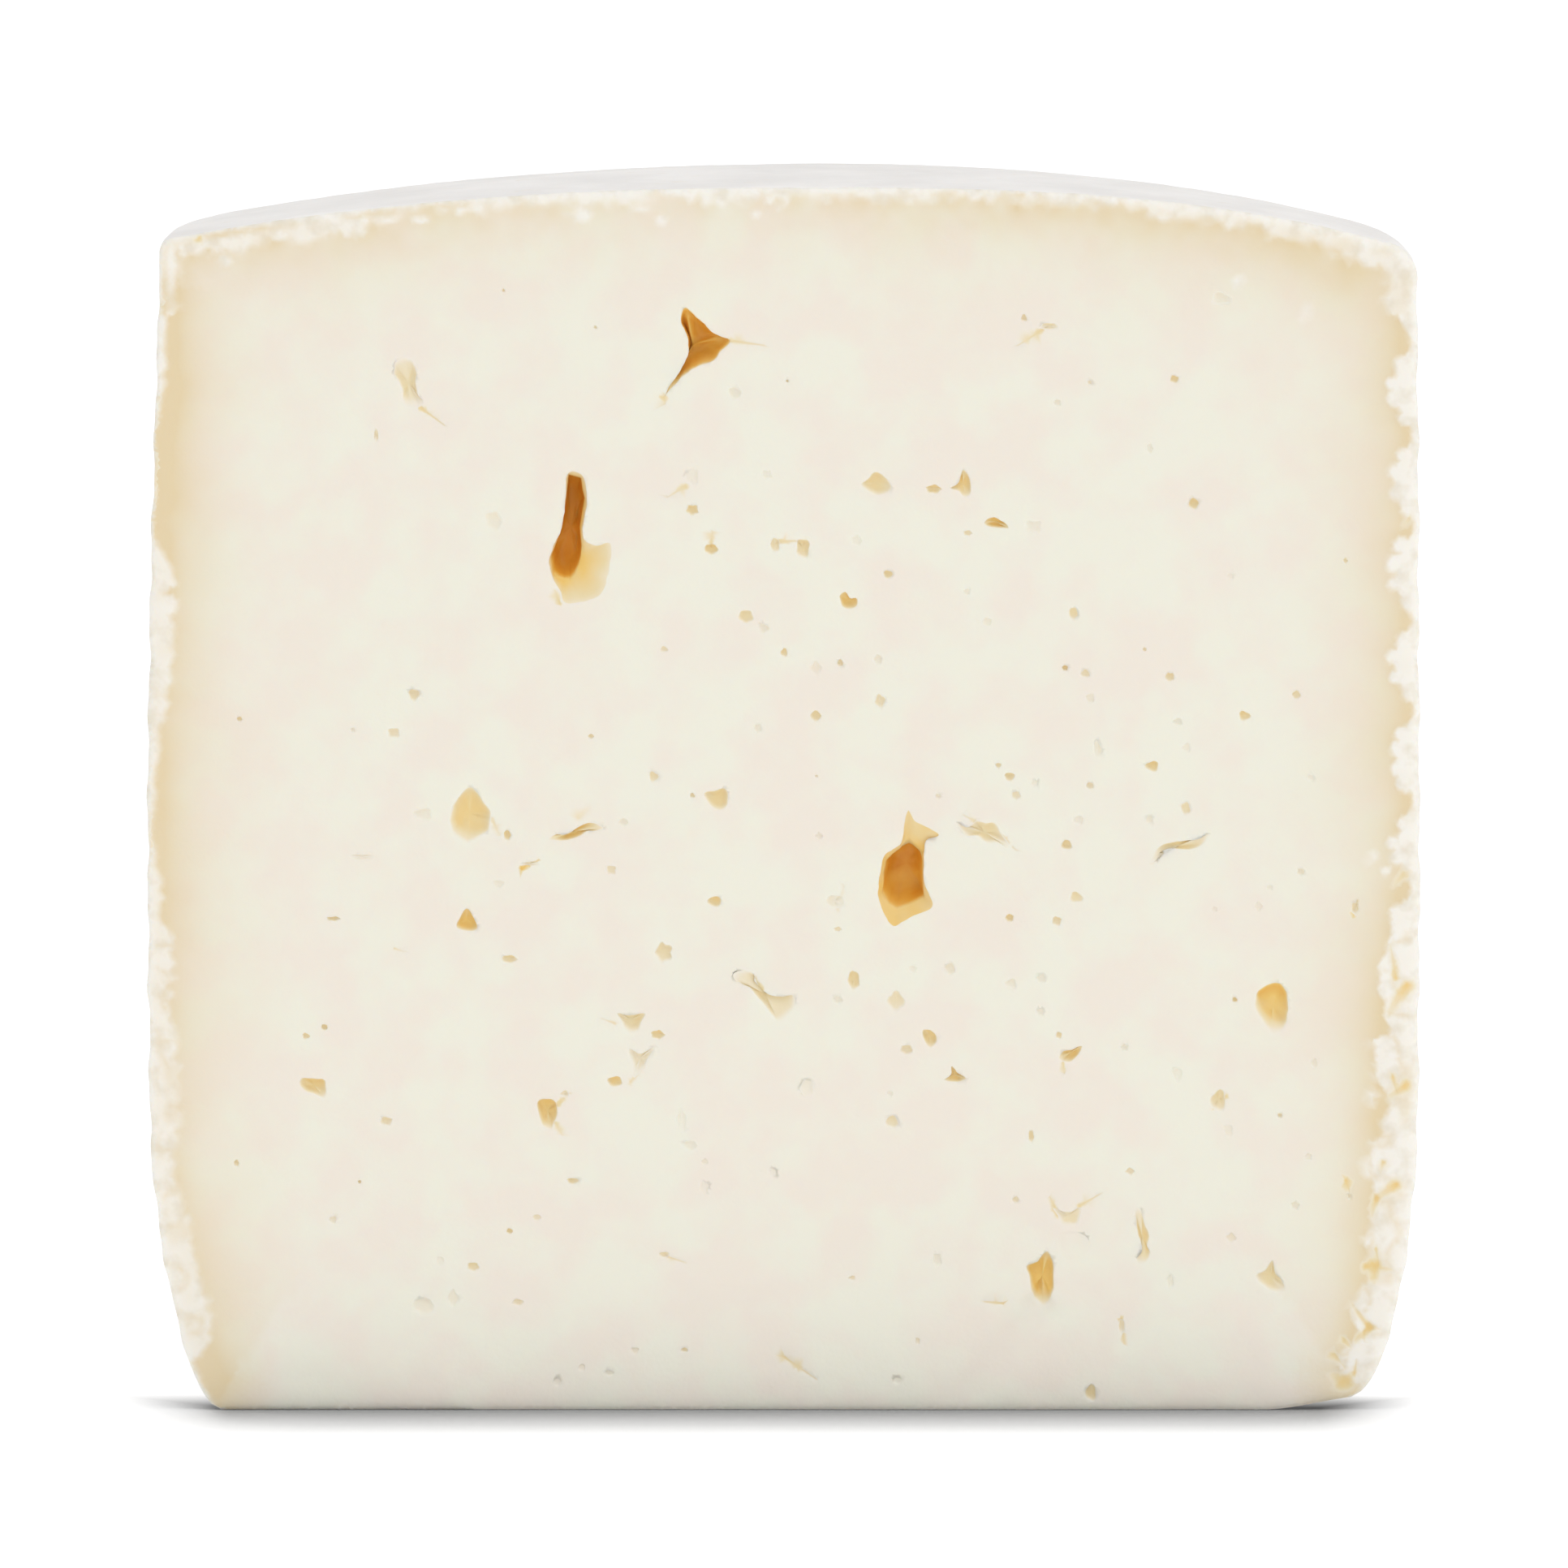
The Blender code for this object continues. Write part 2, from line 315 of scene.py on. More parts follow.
def insideLoop(flat, loop):       # which flat places lie inside a loop
    inside = np.zeros(len(flat), bool)
    for (ax, ay), (bx, by) in zip(loop, np.roll(loop, -1, 0)):
        if ay == by:
            continue
        crosses = (ay > flat[:, 1]) != (by > flat[:, 1])
        inside ^= crosses & (flat[:, 0] < (bx - ax) * (flat[:, 1] - ay) / (by - ay) + ax)
    return inside


def nearestOn(flat, marks):       # distance to the nearest of some marks, and which one it is
    distance = np.empty(len(flat))
    which = np.empty(len(flat), int)
    for first in range(0, len(flat), 4000):
        block = flat[first:first + 4000, None] - marks[None]
        squared = (block ** 2).sum(-1)
        which[first:first + 4000] = squared.argmin(1)
        distance[first:first + 4000] = np.sqrt(squared.min(1))
    return distance, which


def scattered(low, high, step):       # a jittered field of places
    across = np.arange(low[0], high[0], step)
    up = np.arange(low[1], high[1], step * 0.87)
    field = np.stack(np.meshgrid(across, up), -1)
    field[1::2, :, 0] += step / 2
    return (field + dice.uniform(-0.22, 0.22, field.shape) * step).reshape(-1, 2)


def makeSkin():
    # The turned wall and shoulder. Returns the point numbers as a grid of columns and rows.
    inner = np.linspace(drum["firstTurn"] / drum["radius"], math.pi - drum["firstTurn"] / drum["radius"],
                        drum["turnSteps"] - 1)
    turn = np.concatenate([[0.0], inner, [math.pi]])[:, None]
    side = np.cos(turn)
    arcRadius, arcHeight, corner, arcEnd, _ = shoulder(side)
    height = arcHeight * np.linspace(0, 1, drum["wallSteps"] + 1)[None, :-1]
    relief, fade = rowRelief(height)
    radius = wallRadius(height, side) - relief
    angle = arcEnd * np.linspace(0, 1, drum["shoulderSteps"] + 1)[None]
    radius = np.concatenate([radius, arcRadius + corner * np.cos(angle)], 1)
    height = np.concatenate([height, arcHeight + corner * np.sin(angle)], 1)
    tilt = np.concatenate([np.zeros_like(relief), np.broadcast_to(angle, (len(turn), angle.shape[1]))], 1)
    turns = np.broadcast_to(turn, radius.shape)

    dip = mouldLumps(inSpace(radius, height, turns))
    weave = 0.5 + 0.5 * np.sin(math.pi * height / basket["strandPitch"]) * np.cos(
        math.pi * turns * drum["radius"] / basket["ribSpacing"])
    fade = np.concatenate([fade, np.zeros((len(turn), angle.shape[1]))], 1)
    dip = dip + basket["strandDepth"] * fade * weave
    pressed = np.concatenate([relief / basket["rowDepth"], np.zeros((len(turn), angle.shape[1]))], 1)
    hollow = basket["rowShow"] * pressed ** 2 + basket["strandShow"] * fade * weave
    lift = np.clip(height / drum["flatEdge"], 0, 1)
    places = inSpace(radius - dip * np.cos(tilt), height - dip * np.sin(tilt) * lift, turns)
    places[[0, -1], :, 1] = 0.0
    numbers = addPoints(places.reshape(-1, 3), rind=1.0, pit=hollow.reshape(-1)).reshape(radius.shape)
    quads = np.stack([numbers[:-1, :-1], numbers[1:, :-1], numbers[1:, 1:], numbers[:-1, 1:]], -1)
    addFaces(quads.reshape(-1, 4), 1)
    return numbers


skin = makeSkin()
print("skin:", skin.shape[0], "columns of", skin.shape[1], "points")


# Loose points over the crown and the base: the corners of the field, the step and how far in it starts.
crownField = {"low": (-64, 1.2), "high": (64, 63), "step": 0.75, "clear": 0.4}
baseField = {"low": (-60, 1.4), "high": (60, 62), "step": 1.2, "clear": 0.5, "front": 1.0,
             "rindWidth": 1.2, "rindBlur": 0.8}


def makeCrown(skin):
    # The domed top as an even field of points. Returns the row of points along the cut, right to left.
    rim = placesOf(skin[:, -1])
    _, _, _, _, arcTop = shoulder(np.array([1.0, -1.0]))
    steps = int(arcTop.sum() / drum["edgeStep"])
    across = np.linspace(rim[0, 0], rim[-1, 0], steps + 1)[1:-1]
    loop = np.concatenate([rim[:, :2], np.stack([across[::-1], np.zeros(len(across))], -1)])
    field = scattered(crownField["low"], crownField["high"], crownField["step"])
    apart, _ = nearestOn(field, loop)
    field = field[insideLoop(field, loop) & (apart > crownField["clear"])]

    def domed(flat):
        radius = np.hypot(flat[:, 0], flat[:, 1])
        height = crownHeight(radius, flat[:, 0] / np.maximum(radius, 1e-6))
        places = np.concatenate([flat, height[:, None]], 1)
        places[:, 2] -= mouldLumps(places)
        return places

    edge = addPoints(domed(np.stack([across, np.zeros(len(across))], -1)), rind=1.0)
    inner = addPoints(domed(field), rind=1.0)
    outer = np.concatenate([skin[:, -1], edge[::-1]])
    addFaces(fillPatch([outer], inner, np.concatenate([loop, field])), 1)
    return edge


crownEdge = makeCrown(skin)
print("crown: done,", gathered["count"], "points so far")


def makeBase(skin):
    # The flat underside. Returns the row of points along the cut, left to right.
    rim = placesOf(skin[:, 0])
    steps = int((rim[0, 0] - rim[-1, 0]) / drum["edgeStep"])
    across = np.linspace(rim[-1, 0], rim[0, 0], steps + 1)[1:-1]
    loop = np.concatenate([rim[:, :2], np.stack([across, np.zeros(len(across))], -1)])
    field = scattered(baseField["low"], baseField["high"], baseField["step"])
    apart, _ = nearestOn(field, rim[:, :2])
    keep = insideLoop(field, loop) & (apart > baseField["clear"]) & (field[:, 1] > baseField["front"])
    field = field[keep]
    rind = 1 - np.clip((apart[keep] - baseField["rindWidth"]) / baseField["rindBlur"], 0, 1)
    edge = addPoints(np.stack([across, np.zeros(len(across)), np.zeros(len(across))], -1))
    inner = addPoints(np.concatenate([field, np.zeros((len(field), 1))], 1), rind=rind)
    outer = np.concatenate([skin[:, 0], edge])
    addFaces(fillPatch([outer], inner, np.concatenate([loop, field]))[:, ::-1], 0)
    return edge


baseEdge = makeBase(skin)
print("base: done,", gathered["count"], "points so far")

# The gaps between the curd grains
# Outlines in photograph pixels. depth is in mm, and tone is how dark the painted shade in the gap goes,
# from 0 to 1. fade is how much of that shade is lost towards the bottom, a painted light on the lower slope.
# brow is painted shade added under the top edge, and edgeTone is how dark the painted shade starts on the
# slope down to a throat. soft is how gently the lower left side slopes in.
drawnGaps = {
    "split": {
        "mouth": [(700, 584), (718, 588), (724, 617), (721, 636), (718, 654), (721, 667), (736, 673),
                  (753, 671), (752, 700), (742, 732), (720, 742), (697, 744), (690, 728), (681, 712),
                  (677, 688), (692, 651), (697, 614)],
        "throat": [(701, 587), (716, 591), (721, 617), (718, 636), (715, 654), (716, 668), (717, 676),
                   (716, 690), (713, 702), (708, 712), (702, 718), (695, 718), (688, 715), (682, 709),
                   (679, 688), (693, 651), (698, 614)],
        "depth": 3.4, "tone": 1.0, "fade": 0.0, "soft": 0.0, "edgeTone": 0.3},
    "spur": {
        "mouth": [(845, 381), (864, 396), (880, 412), (901, 421), (888, 436), (878, 446), (857, 455),
                  (840, 468), (824, 484), (818, 492), (826, 476), (836, 462), (848, 438), (847, 415),
                  (839, 397)],
        "depth": 2.2, "tone": 1.0, "fade": 0.4, "soft": 0.15},
    "flask": {
        "mouth": [(1119, 998), (1126, 1010), (1140, 1018), (1157, 1029), (1142, 1036), (1139, 1048),
                  (1138, 1083), (1143, 1099), (1148, 1119), (1122, 1131), (1102, 1142), (1092, 1131),
                  (1082, 1106), (1084, 1080), (1089, 1056), (1100, 1047), (1109, 1041), (1113, 1028),
                  (1115, 1012)],
        "throat": [(1120, 1040), (1124, 1042), (1129, 1046), (1134, 1051), (1136, 1058), (1137, 1066),
                   (1137, 1086), (1138, 1099), (1139, 1109), (1120, 1119), (1104, 1125), (1095, 1119),
                   (1087, 1103), (1088, 1080), (1092, 1062), (1101, 1053), (1108, 1048), (1112, 1044),
                   (1116, 1042)],
        "depth": 3.0, "tone": 0.92, "fade": 0.0, "soft": 0.0, "edgeTone": 0.85},
    "drop": {
        "mouth": [(580, 970), (594, 985), (606, 1002), (604, 1017), (598, 1026), (576, 1040),
                  (558, 1030), (553, 1015), (556, 1000), (566, 980)],
        "depth": 0.6, "tone": 0.4, "fade": -0.15, "soft": 0.2},
    "egg": {
        "mouth": [(1563, 1213), (1577, 1212), (1586, 1224), (1588, 1240), (1586, 1262), (1580, 1275),
                  (1569, 1279), (1560, 1268), (1549, 1250), (1545, 1238), (1550, 1222)],
        "depth": 0.7, "tone": 0.74, "fade": 0.55, "soft": 0.5, "brow": 0.4},
    "cleft": {
        "mouth": [(1265, 1562), (1278, 1556), (1290, 1543), (1298, 1556), (1300, 1575), (1299, 1592),
                  (1290, 1613), (1278, 1606), (1271, 1592), (1268, 1575)],
        "depth": 0.8, "tone": 0.62, "fade": 0.1, "soft": 0.2},
    "cleftTop": {
        "mouth": [(1298, 1490), (1310, 1494), (1322, 1494), (1334, 1489), (1331, 1503), (1328, 1512),
                  (1308, 1512), (1304, 1500)],
        "depth": 0.15, "tone": 0.6, "fade": 0.2, "soft": 0.3},
    "cleftShelf": {
        "mouth": [(1303, 1522), (1320, 1519), (1338, 1524), (1344, 1540), (1338, 1557), (1322, 1566),
                  (1306, 1560), (1302, 1541)],
        "depth": 0.08, "tone": 0.18, "fade": 0.3, "soft": 0.2},
    "fissure": {
        "mouth": [(1400, 1490), (1407, 1492), (1411, 1508), (1418, 1524), (1415, 1537), (1418, 1547),
                  (1414, 1559), (1404, 1561), (1401, 1553), (1408, 1543), (1405, 1528), (1401, 1510)],
        "depth": 0.18, "tone": 0.85, "fade": -0.1, "soft": 0.1},
    "finger": {
        "mouth": [(488, 448), (497, 442), (508, 445), (514, 460), (513, 474), (516, 487), (524, 499),
                  (514, 505), (505, 507), (497, 499), (496, 483), (491, 470), (486, 459)],
        "depth": 0.4, "tone": 0.36, "fade": 0.3, "soft": 0.25},
    "lip": {
        "mouth": [(673, 1035), (684, 1029), (696, 1029), (708, 1023), (718, 1017), (730, 1014),
                  (744, 1021), (734, 1024), (724, 1025), (714, 1031), (702, 1036), (688, 1037)],
        "depth": 0.5, "tone": 0.66, "fade": 0.1, "soft": 0.1},
    "tear": {
        "mouth": [(1416, 1064), (1422, 1049), (1432, 1041), (1448, 1038), (1462, 1036), (1478, 1034),
                  (1492, 1026), (1485, 1039), (1471, 1047), (1455, 1047), (1440, 1047), (1430, 1051),
                  (1425, 1062)],
        "depth": 0.35, "tone": 0.52, "fade": 0.2, "soft": 0.1},
    "wedge": {
        "mouth": [(904, 1200), (916, 1196), (928, 1199), (929, 1208), (937, 1218), (947, 1226),
                  (963, 1229), (979, 1228), (978, 1246), (963, 1262), (953, 1254), (943, 1241),
                  (932, 1229), (922, 1217), (911, 1212), (904, 1207)],
        "depth": 0.4, "tone": 0.44, "fade": 0.2, "soft": 0.2},
    "notch": {
        "mouth": [(759, 1249), (776, 1252), (795, 1249), (790, 1260), (787, 1271), (776, 1276),
                  (768, 1268), (765, 1258)],
        "depth": 0.4, "tone": 0.42, "fade": 0.3, "soft": 0.25},
    "notchLow": {
        "mouth": [(774, 1293), (789, 1299), (807, 1290), (799, 1304), (792, 1318), (780, 1330),
                  (779, 1312)],
        "depth": 0.3, "tone": 0.28, "fade": 0.3, "soft": 0.25},
    "tooth": {
        "mouth": [(662, 1358), (673, 1355), (684, 1358), (687, 1370), (684, 1382), (678, 1394),
                  (668, 1388), (663, 1374)],
        "depth": 0.7, "tone": 0.6, "fade": 0.4, "soft": 0.2},
    "gable": {
        "mouth": [(1177, 1013), (1190, 1020), (1202, 1012), (1214, 1014), (1227, 1014), (1235, 1028),
                  (1247, 1047), (1231, 1040), (1216, 1040), (1204, 1031), (1189, 1030)],
        "depth": 0.35, "tone": 0.42, "fade": 0.3, "soft": 0.2},
    "pit": {
        "mouth": [(371, 1329), (386, 1330), (399, 1331), (402, 1344), (399, 1355), (386, 1350),
                  (374, 1346), (367, 1338)],
        "depth": 0.5, "tone": 0.54, "fade": 0.3, "soft": 0.2},
    "tent": {
        "mouth": [(575, 1120), (583, 1130), (588, 1145), (576, 1148), (561, 1144), (566, 1132)],
        "depth": 0.6, "tone": 0.6, "fade": 0.1, "soft": 0.1},
    "roof": {
        "mouth": [(1060, 598), (1070, 590), (1077, 582), (1088, 586), (1099, 601), (1090, 610),
                  (1078, 612), (1067, 605)],
        "depth": 0.4, "tone": 0.5, "fade": 0.3, "soft": 0.2},
    "peak": {
        "mouth": [(1169, 603), (1180, 596), (1186, 580), (1194, 590), (1197, 608), (1189, 615),
                  (1181, 607)],
        "depth": 0.45, "tone": 0.54, "fade": 0.2, "soft": 0.1},
    "brow": {
        "mouth": [(1211, 645), (1224, 638), (1236, 644), (1243, 652), (1230, 651), (1218, 650)],
        "depth": 0.5, "tone": 0.66, "fade": 0.1, "soft": 0.1},
    "chip": {
        "mouth": [(1034, 735), (1041, 730), (1048, 738), (1056, 738), (1056, 747), (1046, 752),
                  (1037, 748)],
        "depth": 0.5, "tone": 0.6, "fade": 0.1, "soft": 0.1},
    "wing": {
        "mouth": [(1304, 1304), (1310, 1296), (1322, 1294), (1335, 1289), (1329, 1302), (1318, 1310),
                  (1308, 1309)],
        "depth": 0.45, "tone": 0.62, "fade": 0.2, "soft": 0.1},
    "fin": {
        "mouth": [(1162, 1332), (1172, 1325), (1172, 1314), (1180, 1323), (1191, 1330), (1176, 1335)],
        "depth": 0.45, "tone": 0.6, "fade": 0.2, "soft": 0.1},
    "bean": {
        "mouth": [(1137, 1270), (1148, 1271), (1155, 1280), (1148, 1293), (1140, 1286)],
        "depth": 0.45, "tone": 0.56, "fade": 0.2, "soft": 0.15},
    "molar": {
        "mouth": [(867, 978), (880, 975), (893, 972), (897, 985), (893, 998), (882, 999), (872, 990)],
        "depth": 0.4, "tone": 0.5, "fade": 0.3, "soft": 0.2},
    "flag": {
        "mouth": [(1547, 1574), (1560, 1566), (1570, 1553), (1573, 1570), (1582, 1580), (1585, 1594),
                  (1570, 1595), (1556, 1586)],
        "depth": 0.35, "tone": 0.42, "fade": 0.3, "soft": 0.2},
}
# Smaller eyes by their middle, width and height in photograph pixels. The pale ones are shallow, with little
# painted shade.
darkEyes = [
    (464, 538, 6, 20), (1664, 1476, 5, 9), (621, 360, 4, 5), (734, 405, 5, 5), (853, 630, 16, 14),
    (876, 678, 18, 14), (955, 673, 12, 20), (989, 677, 18, 26), (919, 761, 20, 18), (970, 471, 4, 4),
    (1192, 658, 12, 8), (1094, 709, 12, 11), (966, 805, 9, 12), (1035, 818, 8, 10), (1084, 865, 13, 19),
    (1005, 883, 14, 15), (1322, 757, 12, 17), (1312, 824, 8, 8), (1337, 831, 13, 11), (1342, 473, 6, 6),
    (1446, 469, 12, 10), (1470, 622, 13, 15), (1657, 692, 6, 9), (1410, 801, 6, 6), (1597, 857, 11, 12),
    (1533, 883, 15, 13), (1420, 945, 17, 14), (1314, 1042, 14, 13), (1461, 997, 12, 18),
    (1326, 1107, 17, 15), (1302, 1136, 13, 13), (1244, 1132, 11, 11), (1670, 1120, 9, 17),
    (1522, 1233, 7, 7), (485, 904, 16, 14), (510, 857, 14, 16), (295, 887, 7, 7), (728, 908, 8, 7),
    (805, 958, 12, 14), (753, 1073, 13, 13), (625, 1030, 9, 14), (627, 1183, 20, 11), (818, 1175, 22, 26),
    (880, 1112, 18, 14), (1032, 1146, 11, 7), (1244, 958, 13, 12), (1252, 981, 12, 12), (1230, 944, 8, 8),
    (1052, 1209, 15, 26), (1104, 1235, 22, 26), (1117, 1295, 16, 13), (1305, 1277, 8, 10),
    (1502, 1358, 20, 28), (1578, 1376, 7, 7), (1099, 1384, 17, 16), (1271, 1402, 7, 18),
    (1393, 1445, 12, 10), (1252, 1480, 9, 9), (1383, 1637, 8, 20), (1345, 1719, 14, 22), (376, 1278, 10, 9),
    (399, 1267, 9, 9), (475, 1383, 16, 12), (442, 1458, 5, 5), (290, 1435, 7, 10), (410, 1133, 20, 6),
    (705, 1457, 16, 8), (661, 1502, 12, 9), (627, 1519, 9, 8), (582, 1563, 16, 12), (637, 1607, 16, 9),
    (818, 1548, 14, 8), (843, 1666, 10, 6), (1131, 1655, 6, 10), (1050, 1577, 10, 6), (810, 1276, 18, 12),
    (757, 1334, 20, 14), (695, 1349, 12, 8), (853, 981, 7, 7), (654, 1065, 26, 5), (1261, 394, 8, 10),
    (1292, 404, 24, 9), (1441, 835, 12, 12), (818, 801, 11, 8), (1006, 957, 4, 4), (1150, 604, 20, 12),
    (1343, 969, 10, 10),
]
paleEyes = [
    (608, 643, 22, 26), (853, 590, 18, 22), (905, 486, 16, 16), (941, 775, 13, 13), (944, 586, 14, 12),
    (1273, 650, 22, 18), (1055, 667, 14, 14), (1005, 824, 14, 18), (1082, 814, 11, 14), (1191, 730, 9, 9),
    (1216, 767, 12, 12), (1343, 861, 12, 14), (933, 898, 10, 12), (1302, 498, 10, 10), (1416, 554, 8, 14),
    (1515, 711, 9, 9), (1451, 890, 14, 10), (1462, 922, 12, 12), (1352, 924, 10, 22), (1615, 959, 9, 9),
    (1329, 1011, 14, 12), (1416, 1011, 10, 10), (1497, 1121, 8, 8), (1551, 1118, 10, 14),
    (1603, 1075, 10, 10), (435, 900, 7, 7), (768, 1014, 12, 11), (521, 1004, 24, 16), (614, 1090, 14, 12),
    (1009, 1031, 10, 10), (1028, 1112, 24, 18), (1275, 966, 9, 9), (1156, 982, 8, 8), (1032, 1233, 12, 10),
    (1124, 1195, 10, 10), (1171, 1195, 13, 16), (1246, 1213, 14, 13), (1283, 1207, 12, 12),
    (1282, 1248, 10, 10), (1386, 1292, 10, 10), (1451, 1326, 13, 20), (1514, 1395, 13, 18),
    (1097, 1349, 8, 8), (1620, 1311, 8, 14), (1613, 1427, 10, 10), (1443, 1582, 9, 18),
    (1518, 1527, 13, 13), (1155, 1555, 12, 18), (1106, 1704, 12, 10), (409, 1505, 10, 10),
    (445, 1057, 32, 8), (839, 1383, 13, 32), (850, 1413, 18, 14), (868, 1433, 9, 9), (867, 1465, 12, 18),
    (541, 1556, 10, 14), (557, 1602, 14, 22), (520, 1612, 28, 22), (782, 1667, 10, 10), (952, 1446, 10, 10),
    (1503, 370, 26, 16), (1597, 1487, 11, 12), (994, 1342, 16, 22), (1565, 1095, 8, 8), (686, 1706, 10, 12),
    (750, 1695, 12, 8), (716, 1688, 10, 10),
]
# Cracks by their two ends in photograph pixels, with their width at the first end and the tone of the
# painted shade in them.
cracks = [
    (898, 421, 941, 427, 5, 0.3), (514, 500, 548, 525, 4, 0.35), (1304, 1500, 1294, 1476, 4, 0.35),
    (1330, 1488, 1356, 1473, 4, 0.3), (686, 1362, 702, 1348, 4, 0.3), (684, 1384, 692, 1400, 3, 0.25),
    (846, 600, 822, 614, 5, 0.25), (1284, 408, 1254, 427, 4, 0.3), (1310, 1309, 1312, 1324, 3, 0.3),
    (876, 672, 878, 656, 4, 0.3), (955, 668, 992, 667, 4, 0.3), (818, 492, 820, 498, 8, 0.3),
    (1430, 1050, 1418, 1066, 5, 0.35), (642, 1071, 664, 1060, 4, 0.6), (965, 1674, 1006, 1702, 4, 0.3),
    (1237, 1608, 1214, 1606, 3, 0.35), (818, 1549, 845, 1558, 4, 0.25), (1382, 1628, 1386, 1658, 4, 0.4),
    (757, 1262, 742, 1256, 4, 0.2), (1234, 1030, 1252, 1048, 4, 0.25), (485, 1169, 496, 1173, 4, 0.2),
    (1200, 1012, 1186, 1004, 4, 0.2), (1668, 1128, 1674, 1110, 5, 0.4), (1032, 1122, 1040, 1092, 6, 0.12),
    (1512, 1352, 1494, 1368, 5, 0.35), (776, 1334, 796, 1312, 4, 0.2), (712, 1008, 726, 996, 8, 0.15),
    (938, 1220, 930, 1204, 4, 0.4), (690, 745, 684, 728, 4, 0.3), (606, 1010, 616, 1030, 4, 0.2),
    # in the rind of the foot on the right, and where the rind is crumpled
    (1734, 1214, 1713, 1250, 17, 0.42), (1732, 1340, 1716, 1350, 17, 0.4),
    (1717, 1328, 1722, 1347, 10, 0.36), (1705, 1434, 1703, 1444, 9, 0.3),
    (1722, 1461, 1697, 1478, 15, 0.42), (1697, 1478, 1692, 1500, 9, 0.4), (1697, 1540, 1700, 1560, 6, 0.3),
    (1684, 1562, 1716, 1566, 9, 0.4), (1696, 1562, 1695, 1581, 18, 0.4), (1688, 1640, 1668, 1611, 10, 0.4),
    (1688, 1640, 1701, 1643, 11, 0.38), (1688, 1641, 1672, 1660, 12, 0.4), (1683, 1646, 1683, 1661, 4, 0.3),
    (1657, 1657, 1666, 1668, 5, 0.3), (1645, 1676, 1660, 1697, 6, 0.3), (1671, 1704, 1673, 1685, 6, 0.36),
    (1656, 1714, 1646, 1706, 22, 0.36), (1659, 1456, 1664, 1470, 5, 0.4), (1721, 1206, 1714, 1166, 9, 0.36),
    (1730, 1078, 1718, 1092, 10, 0.25), (1736, 640, 1728, 650, 8, 0.2), (247, 297, 251, 300, 11, 0.3),
]
# gapStyle also sets the painted shade in the gaps: its tones, how much depth it takes to darken, and its
# patches.
gapStyle = {
    "rimStep": 0.24,           # mm between points round a mouth
    "stages": [(0.03, 0.985), (0.1, 0.965), (0.25, 0.93), (0.5, 0.86), (0.75, 0.76), (0.93, 0.6),
               (1.0, 0.35)],   # share of the depth, and of the mouth's size there
    "shelf": 0.6, "shelfTone": 0.5,   # mm from the mouth down to the throat, where a gap has one
    "overhang": 0.25,          # how far the floor lies up under the roof, as a share of the height
    "wobble": 0.05, "ragged": 0.07,
    "darkDepth": 0.32,         # mm of depth for most of the tone
    "tipPale": 0.5, "tipShallow": 0.9,   # how much paler and shallower the far tips of a gap are
    "crumple": 0.16,           # unevenness of the depth inside
    "eyeDepth": (0.18, 0.33), "eyeTone": (0.42, 0.66), "eyeFade": 0.4, "eyeSoft": 0.2,
    "eyePinch": (0.08, 0.2), "eyeRagged": 0.05, "eyeSteps": 14,
    "smallDepth": (0.35, 0.6),   # share of the depth that the smallest eyes keep, and more of it per mm
    "paleDepth": (0.12, 0.22), "paleTone": (0.16, 0.3),
    "nearest": 0.12,           # mm between two mouths
    "slope": [(0.06, 0.04), (0.25, 0.2), (0.55, 0.5), (0.85, 0.8), (1.0, 1.0)],   # from mouth to throat
    "slopeTone": (0, 0.25, 0.5, 0.8, 1),
    "farFrom": 1.0, "farRun": 0.95,       # where a tip begins, in shares of the mean reach
    "browHeight": 0.3, "patches": (0.22, 1.3, 13),
    "softTowards": (0.5, 0.85), "softRun": 8, "crumpleRun": 4,       # the soft side faces down and left
}


def rounded(corners, step):       # a closed curve through given corners, with even steps
    corners = np.asarray(corners, float)
    before, after, later = np.roll(corners, 1, 0), np.roll(corners, -1, 0), np.roll(corners, -2, 0)
    t = np.linspace(0, 1, 12, endpoint=False)[None, :, None]
    p, q, r, s = (c[:, None] for c in (before, corners, after, later))
    curve = 0.5 * (2 * q + (r - p) * t + (2 * p - 5 * q + 4 * r - s) * t ** 2
                   + (3 * q - p - 3 * r + s) * t ** 3)
    curve = curve.reshape(-1, 2)
    ends = np.concatenate([curve, curve[:1]])
    along = np.concatenate([[0], np.cumsum(np.hypot(*np.diff(ends, axis=0).T))])
    count = max(9, int(along[-1] / step)) if step else len(curve)
    marks = np.linspace(0, along[-1], count, endpoint=False)
    share = np.interp(marks, along, np.arange(len(along)) / 12)
    return np.stack([np.interp(marks, along, ends[:, k]) for k in range(2)], -1), share


def followed(corners, share):       # the same shares of the way round another set of corners
    ends = np.concatenate([np.asarray(corners, float), np.asarray(corners, float)[:1]])
    corner = np.arange(len(ends))
    return np.stack([np.interp(share, corner, ends[:, k]) for k in range(2)], -1)


def roughened(outline):       # the small unevenness of a torn edge
    space = np.concatenate([outline, np.zeros((len(outline), 1))], 1)
    shift = np.stack([softNoise(space, 0.55, 14), softNoise(space, 0.55, 15)], -1)
    return outline + gapStyle["ragged"] * shift


def eyeOutline(across, up, wide, tall):       # a small gap with three to five soft corners
    corners = dice.integers(3, 6)
    turn = dice.uniform(0, 2 * math.pi)
    pinch = dice.uniform(*gapStyle["eyePinch"])
    angle = np.linspace(0, 2 * math.pi, gapStyle["eyeSteps"], endpoint=False)
    ragged = gapStyle["eyeRagged"]
    reach = 1 + pinch * np.cos(corners * (angle - turn)) + dice.uniform(-ragged, ragged, len(angle))
    return np.stack([across + reach * np.cos(angle) * wide / 2, up + reach * np.sin(angle) * tall / 2], -1)


